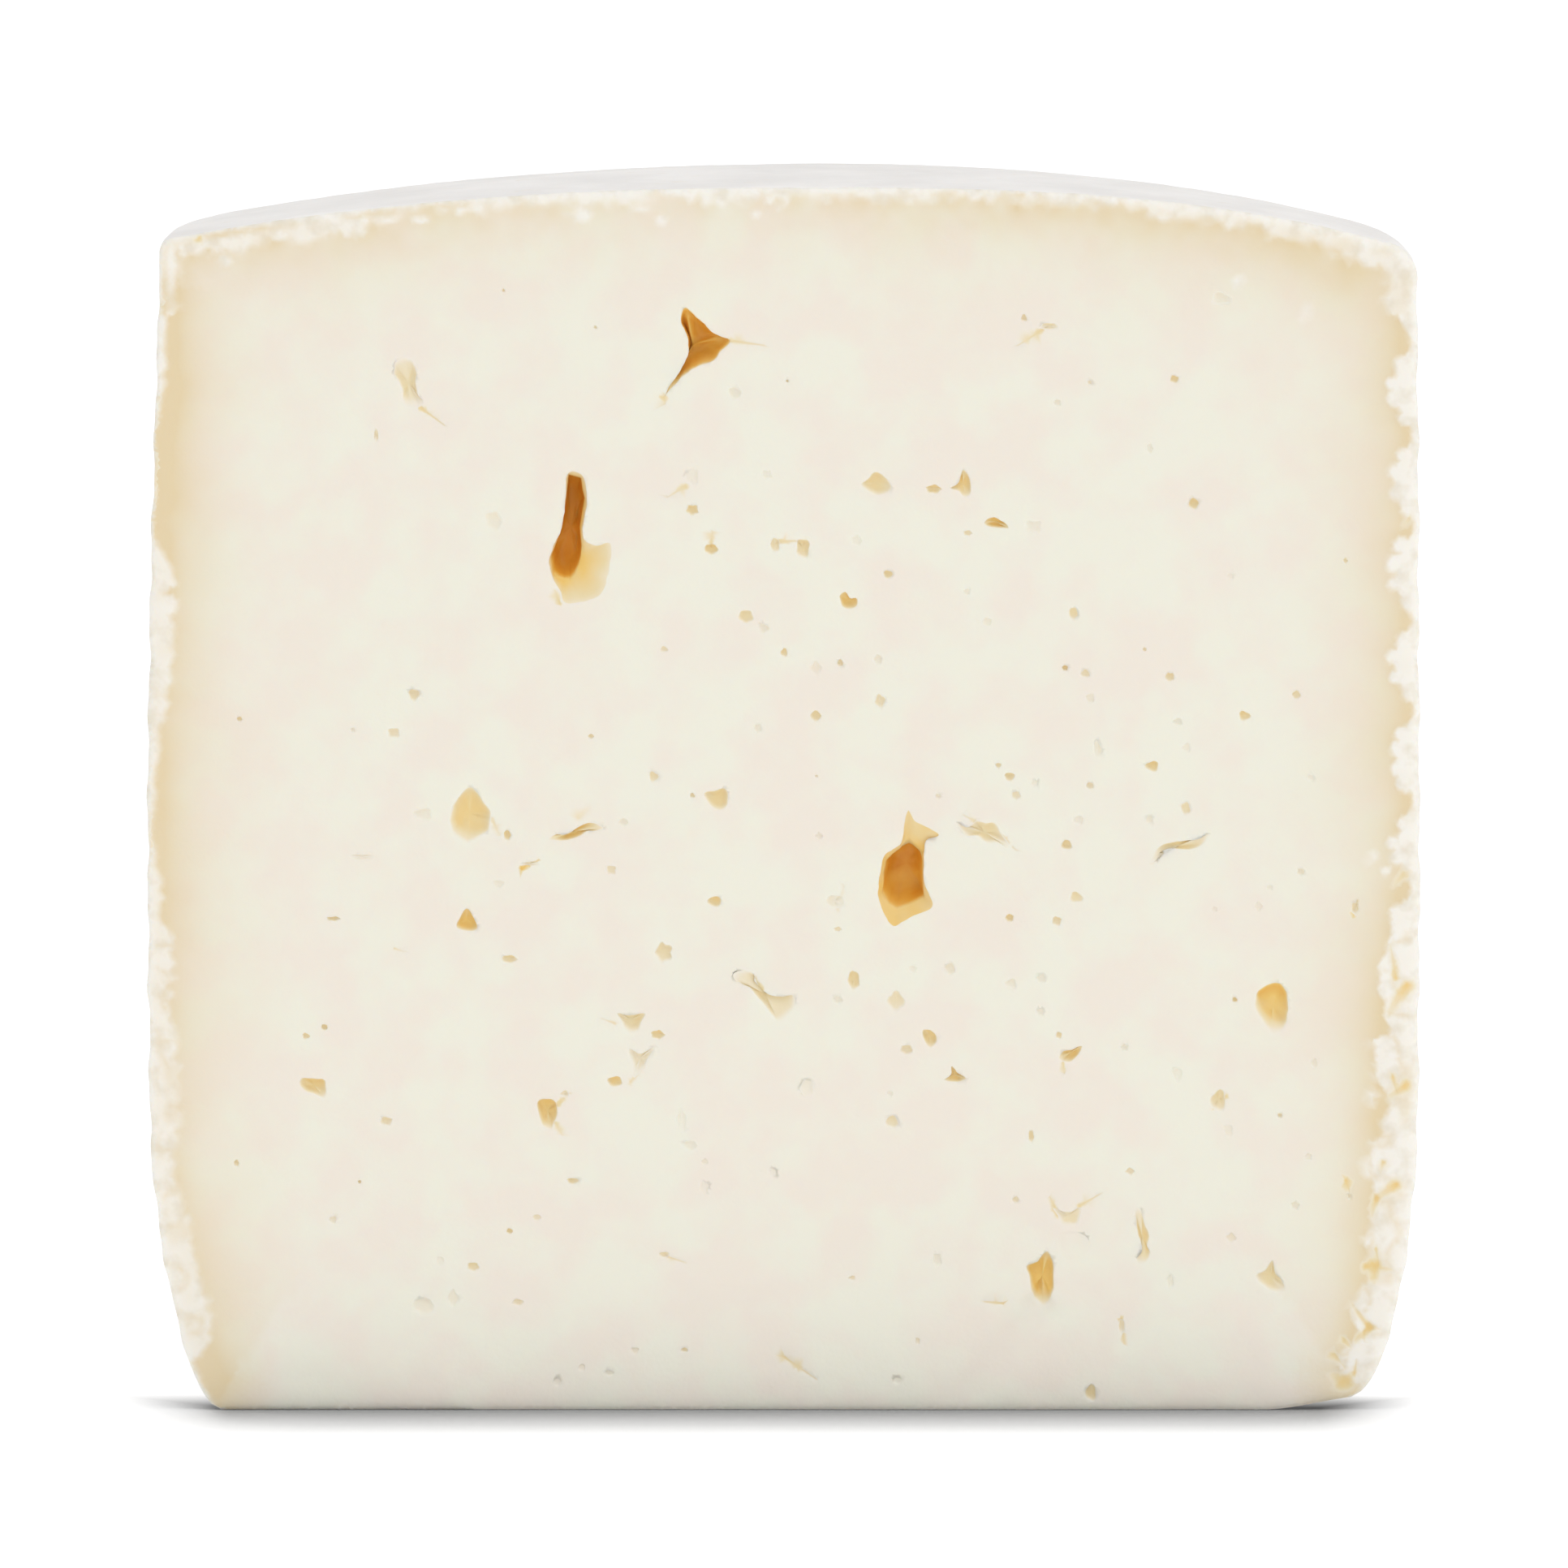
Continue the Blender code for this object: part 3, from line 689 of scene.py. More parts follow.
def listGaps():
    # Every gap with its mouth and an optional throat, in millimetres on the cut.
    found = []
    for spec in drawnGaps.values():
        gap = dict(spec)
        mouth, share = rounded(onCut(spec["mouth"]), gapStyle["rimStep"])
        gap["mouth"] = roughened(mouth)[::-1]
        if "throat" in spec:
            gap["throat"] = followed(onCut(spec["throat"]), share)[::-1]
        found.append(gap)
    least, more = gapStyle["smallDepth"]
    for eyes, depths, tones in ((darkEyes, "eyeDepth", "eyeTone"), (paleEyes, "paleDepth", "paleTone")):
        for column, row, wide, tall in eyes:
            across, up = onCut((column, row))
            size = (wide / photo["pixelsPerMm"], tall / pixelsPerMmUp)
            mouth, _ = rounded(eyeOutline(across, up, *size), min(gapStyle["rimStep"], min(size) * 0.5))
            depth = dice.uniform(*gapStyle[depths]) * min(1.0, least + more * min(size))
            gap = {"mouth": mouth, "depth": depth, "tone": dice.uniform(*gapStyle[tones]),
                   "fade": gapStyle["eyeFade"], "soft": gapStyle["eyeSoft"]}
            others = [other["mouth"] for other in found]
            if all(nearestOn(mouth, other)[0].min() > gapStyle["nearest"]
                   and not insideLoop(mouth, other).any() for other in others):
                found.append(gap)
            else:
                print("an eye at", (column, row), "meets another gap and is left out")
    return found


gaps = listGaps()
print("gaps:", len(gaps))

# The cut face
# White rind on the cut. Right: a lobe of bumps between each two rods. Left: a crenellated band.
rim = {
    "lowestLobe": 5, "lobeBumps": 4, "lobeReach": 2.25, "lobeBand": 0.75, "lobeHalf": 3.9,
    "lobeRound": 0.12, "bumpRadius": 0.82, "bumpPitch": 1.95, "bumpsAbove": 1.35, "bumpSqueeze": 0.95,
    "bumpDrift": (0.3, 0.22, 0.35),       # mm of unevenness in each bump's reach, radius and height
    "rightHeights": (0, 1.5, 2.8, 4.5, 6.2, 7.2, 8.5, 10.5, 12.2, 13.2, 14.3, 15.2, 19, 21, 22.6, 23.8, 26.8,
                     27.4, 29.4, 30.5, 31.6, 33, 36.9, 37.6, 40.6, 41.8, 44.2, 46, 47.5, 50, 51, 52),
    "rightBand": (0.2, 0.8, 3.2, 4.4, 3.4, 2.9, 3.6, 4.3, 4.0, 2.6, 2.6, 4.1, 4.2, 3.8, 3.9, 4.8, 4.7,
                  3.4, 3.3, 2.8, 2.9, 4.0, 4.4, 3.0, 3.4, 4.2, 4.2, 3.2, 2.6, 2.7, 1.6, 1.0),
    "leftHeights": (0, 3.2, 4.8, 6.1, 8.2, 11.6, 15.1, 18.6, 22, 25.6, 31.8, 38.4, 44.9, 48.2, 51.6, 54.9,
                    57.4, 58.8, 61, 64, 67.5, 70.7, 74, 77.3, 80.8, 84, 85.7, 87.3, 92, 98.6, 99.8, 103,
                    106.7, 109.7, 113, 116),
    "leftBand": (0.3, 0.3, 0.4, 1.6, 2.8, 3.0, 3.1, 2.9, 2.6, 2.5, 2.5, 2.5, 2.3, 1.5, 1.2, 0.7,
                 0.3, 0.3, 0.8, 0.8, 1.2, 1.7, 2.5, 2.5, 2.0, 1.5, 0.8, 0.3, 0.15, 0.2, 0.5, 0.7,
                 0.8, 0.8, 0.6, 0.5),
    "regularAbove": 50.6, "regularRun": 1.5, "crumbledRun": 3, "combPitch": 0.8, "combDepth": 0.65,
    "crenel": 0.25, "crenelFrom": 0.4, "leftRough": 0.8,
    "topFrom": 105.5, "topRise": 0.06,       # the top band starts this high, and higher towards the sides
    "topAcross": (-62, -57, -53, -48, -44, -41, -39, -34, -22, -17, -12, -6, 0, 6, 12, 20, 27, 33, 40, 47,
                  54, 60),
    "topBand": (1.4, 1.7, 2.3, 2.1, 2.2, 1.6, 0.9, 0.8, 0.7, 1.3, 0.6, 1.1, 0.9, 0.8, 1.1, 0.6, 0.9, 0.6,
                1.3, 1.5, 2.0, 2.7),
    "topBump": 0.3, "topPitch": 1.8, "topBlur": 1.0, "topCover": 0.72, "topWhite": 0.8,
    "topTorn": 1.3, "patchesFrom": 0.5, "sideBlur": 0.34, "leftBlur": 0.6, "bareFoot": 0.4,
    "leftCover": 0.8, "rightCover": 0.93, "blotch": (0.2, 0.1), "whiteEdge": 0.5,
    "creaseWidth": 0.22, "crease": 0.5, "creaseFrom": 0.4, "creaseRun": 0.8,
    "knifeAt": 0.55, "knifeWidth": 0.5, "knifeLeftOf": -24, "knifeRun": 5, "knifeMost": 0.9,
    "flakeCover": 0.85, "flakeBlur": 0.9, "flakeSpread": 0.4,
    # unevenness: the amount in mm or as a share, the grain in mm and the shift
    "rough": [(0.18, 1.1, 5), (0.14, 2.6, 6)], "crumbs": (0.35, 1.2, 7), "scallopDrift": (2.5, 5.0, 8),
    "topWave": (0.45, 2.4, 21), "topEdge": (0.9, 0.8, 22), "topPatches": (0.2, 1.9, 23),
    "knifeSkips": (1.2, 4.0, 24), "flakeEdge": (0.6, 0.7, 16), "creaseLines": (1.0, 2.3, 31),
    "blotches": (0.5, 1.4, 33),
}
# White flakes that the knife dragged in from the rind, by middle, width and height in photograph pixels.
flakes = [
    (306, 300, 14, 12), (344, 292, 30, 11), (388, 290, 30, 13), (430, 266, 40, 7), (476, 273, 26, 8),
    (517, 273, 22, 8), (568, 262, 14, 9), (716, 266, 30, 14), (790, 258, 22, 10), (816, 272, 14, 12),
    (932, 266, 14, 12), (1516, 278, 14, 16), (1525, 349, 10, 7), (1609, 388, 16, 14), (278, 325, 12, 14),
    (1695, 1055, 12, 10), (1708, 1075, 10, 9), (222, 1562, 14, 8), (214, 1360, 12, 9), (234, 1653, 12, 9),
    (1697, 1350, 16, 8), (1692, 1362, 10, 9), (1700, 1443, 12, 10), (1688, 1452, 9, 8), (1705, 1462, 14, 7),
]
# How strongly the paste is tanned under the rind, by the way round the cut from its foot on the right.
ripening = {
    "reach": 3.3,        # mm over which the tan fades to a third
    "corner": 0.4,       # more of it in the upper right corner
    "right": ((0, 8, 25, 45, 75, 108), (1.0, 0.95, 1.15, 1.1, 1.0, 1.0)),
    "left": ((0, 8, 25, 45, 75, 90, 108), (0.9, 0.85, 0.95, 0.95, 0.95, 1.1, 1.2)),
    "top": ((-60, -45, -30, -8, 10, 30, 45, 60), (0.95, 0.75, 0.5, 0.35, 0.6, 0.8, 0.95, 1.0)),
    "topFrom": 112, "topRun": 1.5, "topReach": 5, "footFrom": 50, "footRun": 7, "footHeight": 0.5,
    "startRight": ((36, 54), (3.6, 1.6)), "startLeft": ((14, 26), (2.8, 1.6)),       # mm in from the edge
    "cornerPlace": ((55.5, 112.5), 1.5, 3.5),       # its middle, its radius and how it fades
    # unevenness: the amount, the grain in mm and the shift
    "reachDrift": (0.3, 7.0, 18), "mottle": (0.12, 2.2, 19), "topMottle": (0.55, 1.7, 25),
    "topSpots": (0.12, 1.2, 26),
}
cutStyle = {
    "fineStep": 0.42, "fineDepth": 4.6, "wideStep": 1.05, "nearGap": 0.7, "wideClear": 0.3,
    "edgeClear": 0.25, "gapClear": 0.16, "lineClear": 0.14,
    "crackSteps": 14, "crackSides": (-0.18, 0.0, 0.18),
    "inset": 0.3, "wave": [(0.1, 11.0, 9), (0.035, 1.6, 10)], "edgeRound": 0.35, "edgeReach": 0.4,
    "rindRise": 0.12, "rindLumps": (0.1, 1.0, 28),
    "grooveEnds": ((1281, 1613), (1184, 1727)),       # pixels
    "groove": 0.55, "grooveWidth": 1.7, "grooveFade": 1.15,
    "crackDepth": 0.1, "crackEdge": (0.06, 0.5, 17), "crackDrift": (0.35, 0.9, 32),
    "crackTaper": (0.75, 0.4), "crackBlur": 1.25, "crackTail": 0.5,       # along a crack, and across it
}


def makeCut(skin, crownEdge, baseEdge, gaps):
    border = np.concatenate([skin[0], crownEdge, skin[-1][::-1], baseEdge])
    outline = placesOf(border)[:, [0, 2]]
    low, high = outline.min(0), outline.max(0)
    wide = scattered(low, high, cutStyle["wideStep"])
    fine = scattered(low, high, cutStyle["fineStep"])
    mouths = [gap["mouth"] for gap in gaps]
    rims = np.concatenate(mouths)
    lines = [onCut(np.linspace(crack[:2], crack[2:4], cutStyle["crackSteps"])) for crack in cracks]
    lines = np.concatenate([line + (0, side) for line in lines for side in cutStyle["crackSides"]])
    wideEdge, _ = nearestOn(wide, outline)
    fineEdge, _ = nearestOn(fine, outline)
    wideGap, _ = nearestOn(wide, rims[::2])
    fineGap, _ = nearestOn(fine, rims[::2])
    wide = wide[(wideEdge > cutStyle["fineDepth"]) & (wideGap > cutStyle["nearGap"] + cutStyle["wideClear"])]
    fine = fine[(fineEdge > cutStyle["edgeClear"]) & (fineGap > cutStyle["gapClear"])
                & ((fineEdge < cutStyle["fineDepth"]) | (fineGap < cutStyle["nearGap"]))]
    inner = np.concatenate([wide, fine])
    inner = inner[nearestOn(inner, lines)[0] > cutStyle["lineClear"]]
    lines = lines[nearestOn(lines, rims)[0] > cutStyle["lineClear"]]
    inner = np.concatenate([inner, lines])
    inner = inner[insideLoop(inner, outline)]
    for mouth in mouths:
        near = ((inner > mouth.min(0) - 0.1) & (inner < mouth.max(0) + 0.1)).all(1)
        near[near] = insideLoop(inner[near], mouth)
        inner = inner[~near]

    loops = [border]
    flat = [outline]
    starts = []
    for mouth in mouths:
        loop, start = addCutPoints(mouth, outline)
        loops.append(loop)
        starts.append(start)
        flat.append(mouth)
    numbers, _ = addCutPoints(inner, outline)
    addFaces(fillPatch(loops, numbers, np.concatenate(flat + [inner])), 0)
    for loop, start, gap in zip(loops[1:], starts, gaps):
        makeGap(loop, start, gap)
    return border, outline


def unevenLobe(row, bump, which):       # a number from -1 to 1, the same each time for one bump
    return float(lattice[row, bump, which])


def topRind(uneven, apart):       # soft and patchy, scraped by the knife on the left
    across = uneven[:, 0]
    drift = layered(uneven, [rim["scallopDrift"]])
    scallop = np.abs(np.sin(math.pi * (across + drift) / rim["topPitch"]))
    band = np.interp(across, rim["topAcross"], rim["topBand"]) + layered(uneven, [rim["topWave"]])
    band = band + rim["topBump"] * scallop
    nearEdge = np.exp(-((apart - band) / rim["topTorn"]) ** 2)
    onTop = 0.5 + (band - apart) / rim["topBlur"] + nearEdge * layered(uneven, [rim["topEdge"]])
    cover = rim["topCover"] + (1 - rim["topCover"]) * np.exp(-(apart / rim["topWhite"]) ** 2)
    patches = layered(uneven, [rim["topPatches"]]) * (apart > rim["patchesFrom"])
    onTop = np.clip(onTop, 0, 1) * (cover + patches)
    knife = np.clip(1 - np.abs(apart - rim["knifeAt"]) / rim["knifeWidth"], 0, 1)
    knife = knife * np.clip((rim["knifeLeftOf"] - across) / rim["knifeRun"], 0, 1)
    return onTop * (1 - knife * np.clip(0.5 + layered(uneven, [rim["knifeSkips"]]), 0, rim["knifeMost"]))


def sideBand(uneven, right, left):       # how wide the rind is at each side
    up = uneven[:, 2]
    rough = layered(uneven, rim["rough"])
    row = (up - basket["firstRidge"]) / basket["rowPitch"] - 0.5
    offRow = (row - np.round(row)) * basket["rowPitch"]
    lobe = np.clip(1 - (offRow / rim["lobeHalf"]) ** 2, 0, 1)
    lobed = rim["lobeBand"] + (rim["lobeReach"] - rim["lobeBand"]) * lobe
    regular = np.clip((up - rim["regularAbove"]) / rim["regularRun"], 0, 1)
    crumbly = np.interp(up, rim["rightHeights"], rim["rightBand"]) + layered(uneven, [rim["crumbs"]])
    onRight = regular * lobed + (1 - regular) * crumbly + rough
    leftBand = np.interp(up, rim["leftHeights"], rim["leftBand"])
    comb = softNoise(uneven * (0.2, 1.0, 1.0), rim["combPitch"], 27) * rim["combDepth"]
    crenel = rim["crenel"] * np.abs(np.sin(math.pi * up / rim["bumpPitch"])) + comb
    onLeft = leftBand + crenel * np.clip(leftBand - rim["crenelFrom"], 0, 1) + rim["leftRough"] * rough
    return np.where(left, onLeft, np.where(right, onRight, 0.0))


def withFlakes(covered, flat, uneven):
    for column, line, wide, tall in flakes:
        middle = onCut((column, line))
        offset = (flat - middle) / (wide / photo["pixelsPerMm"] / 2, tall / pixelsPerMmUp / 2)
        nearness = 1 - np.hypot(*offset.T) + layered(uneven, [rim["flakeEdge"]])
        onFlake = np.clip(nearness / rim["flakeBlur"] + rim["flakeSpread"], 0, 1)
        covered = np.maximum(covered, rim["flakeCover"] * onFlake)
    return covered


def withLobes(covered, right, apart, up):       # the bumps of each lobe between two rods
    for k in range(rim["lowestLobe"], basket["rows"] - 1):
        middleUp = basket["firstRidge"] + (k + 0.5) * basket["rowPitch"]
        for bump in range(rim["lobeBumps"]):
            inward, wider, higher = (rim["bumpDrift"][which] * unevenLobe(k, bump, which)
                                     for which in range(3))
            offUp = (rim["bumpsAbove"] - bump) * rim["bumpPitch"] * rim["bumpSqueeze"]
            reach = rim["lobeReach"] - rim["lobeRound"] * offUp ** 2 + inward
            radius = rim["bumpRadius"] + wider
            bumpUp = middleUp + offUp + higher
            away = np.hypot(apart - reach, up - bumpUp)
            onBump = np.clip((radius - away) / rim["sideBlur"] + 0.5, 0, 1)
            covered = np.where(right, np.maximum(covered, onBump), covered)
    return covered


def rindOnCut(flat, apart, near):       # 1 where the cut shows rind, 0 where it shows paste
    across, up = flat[:, 0], flat[:, 1]
    uneven = np.stack([across, np.zeros(len(flat)), up], -1)
    top = up > rim["topFrom"] + rim["topRise"] * np.abs(across)
    right = (across > 0) & ~top
    left = (across <= 0) & ~top
    blur = np.where(left, rim["leftBlur"], rim["sideBlur"])
    covered = np.clip((sideBand(uneven, right, left) - apart) / blur + 0.5, 0, 1)
    covered = np.where(top, topRind(uneven, apart), covered)
    covered = withFlakes(covered, flat, uneven)
    covered = withLobes(covered, right, apart, up)

    low = np.clip((rim["regularAbove"] + 1 - up) / rim["crumbledRun"], 0, 1)
    crease = np.clip(1 - np.abs(layered(uneven, [rim["creaseLines"]])) / rim["creaseWidth"], 0, 1)
    crease = crease * np.clip((apart - rim["creaseFrom"]) / rim["creaseRun"], 0, 1)
    blotch = layered(uneven, [rim["blotches"]])
    onLeft = rim["leftCover"] + rim["blotch"][0] * blotch
    onRight = rim["rightCover"] + rim["blotch"][1] * blotch
    onSide = np.where(left, onLeft, onRight)
    onSide = onSide + (1 - onSide) * np.exp(-(apart / rim["whiteEdge"]) ** 2)
    covered = np.where(top, covered, covered * onSide * (1 - rim["crease"] * crease * low))
    return covered * np.clip((near[:, 1] - rim["bareFoot"]) / rim["bareFoot"], 0, 1)


def tanOnCut(space, apart, near):       # how strongly the paste is tanned
    across, up = space[:, 0], space[:, 2]
    nearAcross, nearUp = near[:, 0], near[:, 1]
    onSide = np.where(nearAcross > 0, np.interp(nearUp, *ripening["right"]),
                      np.interp(nearUp, *ripening["left"]))
    strength = np.where(nearUp > ripening["topFrom"], np.interp(nearAcross, *ripening["top"]), onSide)
    foot = np.clip((np.abs(nearAcross) - ripening["footFrom"]) / ripening["footRun"], 0, 1)
    strength = np.where(nearUp < ripening["footHeight"], foot, strength)
    reach = ripening["reach"] * (1 + layered(space, [ripening["reachDrift"]]))
    start = np.where(nearAcross > 0, np.interp(nearUp, *ripening["startRight"]),
                     np.interp(nearUp, *ripening["startLeft"]))
    tan = strength * np.exp(-np.maximum(apart - start, 0) / reach)
    tan = tan * (1 + layered(space, [ripening["mottle"]]))
    crumbled = np.clip((nearUp - ripening["topFrom"]) / ripening["topRun"], 0, 1)
    crumbled = crumbled * np.exp(-apart / ripening["topReach"])
    tan = tan * (1 + crumbled * layered(space, [ripening["topMottle"]]))
    tan = tan + crumbled * layered(space, [ripening["topSpots"]])
    middle, radius, fade = ripening["cornerPlace"]
    corner = np.exp(-np.maximum(np.hypot(across - middle[0], up - middle[1]) - radius, 0) / fade)
    return np.clip(tan + ripening["corner"] * corner, 0, 1.3)


def cutMarks(flat, outline):       # rind, tan, tone and depth below the plane of the cut, at flat places
    apart, which = nearestOn(flat, outline)
    near = outline[which]
    rind = rindOnCut(flat, apart, near)
    space = np.stack([flat[:, 0], np.zeros(len(flat)), flat[:, 1]], -1)
    tan = tanOnCut(space, apart, near)
    depth = cutStyle["inset"] + layered(space, cutStyle["wave"])
    depth += cutStyle["edgeRound"] * np.exp(-apart / cutStyle["edgeReach"])
    depth -= rind * (cutStyle["rindRise"] + layered(space, [cutStyle["rindLumps"]]))
    start, end = onCut(cutStyle["grooveEnds"])
    run = end - start
    along = ((flat - start) @ run) / (run @ run)
    off = np.hypot(*(flat - start - np.clip(along, 0, 1)[:, None] * run).T)
    groove = np.clip(1 - (off / cutStyle["grooveWidth"]) ** 2, 0, 1)
    groove = groove * np.clip(cutStyle["grooveFade"] - along, 0, 1)
    depth += cutStyle["groove"] * groove
    # pit here is the painted shade along the cracks.
    pit = np.zeros(len(flat))
    thick, thinning = cutStyle["crackTaper"]
    for x0, y0, x1, y1, wide, tone in cracks:
        first, run = onCut((x0, y0)), onCut((x1, y1)) - onCut((x0, y0))
        along = np.clip(((flat - first) @ run) / (run @ run), 0, 1)
        narrow = wide / photo["pixelsPerMm"] * (thick - thinning * along)
        off = np.hypot(*(flat - first - along[:, None] * run).T)
        off += layered(space, [cutStyle["crackEdge"]]) + narrow * layered(space, [cutStyle["crackDrift"]])
        share = np.clip(cutStyle["crackBlur"] - off / narrow, 0, 1)
        share = share * share * (3 - 2 * share)
        tail = 1 - cutStyle["crackTail"] * along
        pit = np.maximum(pit, tone * share * tail)
        rind = rind * (1 - share * tail)
        depth += cutStyle["crackDepth"] * share
    return rind, tan, pit, np.maximum(depth, 0.0)


def addCutPoints(flat, outline):
    rind, tan, pit, depth = cutMarks(flat, outline)
    return addPoints(np.stack([flat[:, 0], depth, flat[:, 1]], -1), rind=rind, tan=tan, pit=pit), depth


def makeGap(loop, start, gap):
    # Rings from the mouth down to the floor, which lies a little higher than the mouth.
    mouth, depth = gap["mouth"], gap["depth"]
    core = gap.get("throat", mouth)
    middle = core.mean(0)
    size = np.ptp(core, 0)
    away = np.hypot(*(core - middle).T)
    far = np.clip((away / away.mean() - gapStyle["farFrom"]) / gapStyle["farRun"], 0, 1)
    far = far * ("throat" not in gap)
    far = far * far * (3 - 2 * far)
    tone = gap["tone"] * (1 - gapStyle["tipPale"] * far)
    shallow = 1 - gapStyle["tipShallow"] * far
    offset = (core - middle) / (size / 2)
    leftward, downward = gapStyle["softTowards"]
    softSide = gap["soft"] * np.clip(-(leftward * offset[:, 0] + downward * offset[:, 1]), 0, 1)

    shelf = gapStyle["shelf"] if "throat" in gap else 0.0
    rings = [(shelf + down * (depth - shelf), core, share, 1.0) for down, share in gapStyle["stages"]]
    if shelf:
        tones = gap["edgeTone"] + (1 - gap["edgeTone"]) * np.array(gapStyle["slopeTone"])
        sloping = [(shelf * down, mouth + (core - mouth) * run, 1.0, dark)
                   for (down, run), dark in zip(gapStyle["slope"], gapStyle["shelfTone"] * tones)]
        rings = sloping + rings
    last = loop
    for down, shape, share, dark in rings:
        inset = share * (1 - softSide * min(1.0, gapStyle["softRun"] * (1 - share)))[:, None]
        shape = middle + (shape - middle) * inset
        space = np.stack([shape[:, 0], np.full(len(shape), down), shape[:, 1]], -1)
        deep = down * (shallow if share < 1 else 1.0)
        if share < 1:
            shape = shape + (shape - middle) * gapStyle["wobble"] * softNoise(space, 1.3, 12)[:, None]
            shape[:, 1] += gapStyle["overhang"] * size[1] * down / depth * min(1.0, depth / size[1])
            inside = min(1.0, gapStyle["crumpleRun"] * (1 - share))
            deep = deep * (1 + gapStyle["crumple"] * softNoise(space, 1.1, 20) * inside)
        # Painted light and shade down the gap: darker with depth, darker under the top edge (brow), and
        # paler towards the bottom (fade), where light falls on the lower slope.
        low = np.clip(0.5 - (shape[:, 1] - middle[1]) / size[1], 0, 1)
        if share < 1:
            dark = 1 - np.exp(-(down - shelf) / gapStyle["darkDepth"])
            dark = np.maximum(dark, gapStyle["shelfTone"]) if shelf else dark
        brow = 1 + gap.get("brow", 0.0) * np.clip(1 - low / gapStyle["browHeight"], 0, 1)
        dark = tone * brow * dark * (1 - gap["fade"] * low) * (1 + layered(space, [gapStyle["patches"]]))
        ring = addPoints(np.stack([shape[:, 0], start + deep, shape[:, 1]], -1), pit=dark)
        after, ahead = np.roll(ring, -1), np.roll(last, -1)
        addFaces(np.stack([last, ahead, after, ring], -1), 0)
        last = ring
    floor = np.array([[shape[:, 0].mean(), (start + deep).mean(), shape[:, 1].mean()]])
    centre = addPoints(floor, pit=dark.mean())
    addFaces(np.stack([last, np.roll(last, -1), np.full(len(last), centre[0])], -1), 0)


def shapeOutline(border):       # the cut's own edge follows the same marks as the rest of the cut
    whole = np.concatenate(gathered["points"])
    rinds = np.concatenate(gathered["rind"])
    tans = np.concatenate(gathered["tan"])
    flat = whole[border][:, [0, 2]]
    _, tan, _, depth = cutMarks(flat, flat)
    whole[border, 1] = depth
    tans[border] = tan
    gathered["points"], gathered["rind"], gathered["tan"] = [whole], [rinds], [tans]


border, outline = makeCut(skin, crownEdge, baseEdge, gaps)
shapeOutline(border)
print("cut:", gathered["count"], "points in all,", len(gathered["faces"]), "faces")


def buildPiece(name, materials):
    points = np.concatenate(gathered["points"])
    points[:, 2] += footLift(points)
    points *= mm
    points[:, 0] += cutMiddle[0]
    points[:, 1] += cutMiddle[1]
    used = np.zeros(len(points), bool)
    for face in gathered["faces"]:
        used[face] = True
    renumber = np.cumsum(used) - 1
    faces = [[int(renumber[corner]) for corner in face] for face in gathered["faces"]]
    mesh = bpy.data.meshes.new(name)
    mesh.from_pydata(points[used].tolist(), [], faces)
    for mark in ("rind", "tan", "pit"):
        layer = mesh.attributes.new(mark, "FLOAT", "POINT")
        layer.data.foreach_set("value", np.concatenate(gathered[mark])[used].astype(np.float32))
    for material in materials:
        mesh.materials.append(material)
    mesh.polygons.foreach_set("material_index", gathered["skins"])
    mesh.polygons.foreach_set("use_smooth", [True] * len(faces))
    mesh.update()
    piece = bpy.data.objects.new(name, mesh)
    bpy.context.scene.collection.objects.link(piece)
    return piece


# Materials
# Ripened goat's curd, drained and cut with a wire: an ivory paste, faintly mottled, that light enters a
# little way. It yellows to tan under the rind. Its gaps and cracks are painted with shade, from cream at
# the mouth to deep gold further down, for the shade in them and the light that glows through the curd.
paste = {
    "pink": "#ECE4D8", "green": "#EBE9DB", "mottle": 5.5, "mottleRange": (0.38, 0.62),
    # The gap colours are painted shade in the gaps and cracks, read from the pit mark.
    "tan": "#E2D0AB", "gapShadeRange": (0.0, 0.14),
    "gapShadeStops": [(0.0, "#EDE7DA"), (0.25, "#E7D6AB"), (0.5, "#EAC674"), (0.75, "#E6B04A"),
                 (1.0, "#DE9A30")],
    # crease is painted shade of the creases in the rind on the cut, set at random by noise.
    "rind": "#F1EEE7", "crease": "#E6E0D3", "crumb": 1.7, "creaseShadeRange": (0.46, 0.7),
    "grain": 0.55, "bump": (0.25, 0.12),
    "roughness": 0.5, "ior": 1.4, "glow": 0.3, "glowReach": (1.0, 0.8, 0.55), "glowScale": 1.5,
    "sheen": 0.0, "sheenRoughness": 0.5,
}
# A felt of white mould grown over the drained curd: dry and velvety, and so dull that it shows no gloss.
# It is thin and creamy in the basket's hollows.
bloom = {
    "white": "#F7F4F1", "grey": "#EDEAE7", "patch": 9.0, "patchRange": (0.35, 0.65),
    "rubbed": "#EDE4D3", "wear": 2.6, "wearRange": (0.6, 0.78), "wearMost": 0.55,
    "pressed": "#E7DFD0", "felt": 0.35, "bump": (0.4, 0.12),
    "roughness": 0.92, "ior": 1.35, "glow": 0.2, "glowReach": (1.0, 0.85, 0.7), "glowScale": 1.2,
    "sheen": 0.25, "sheenRoughness": 0.6,
}


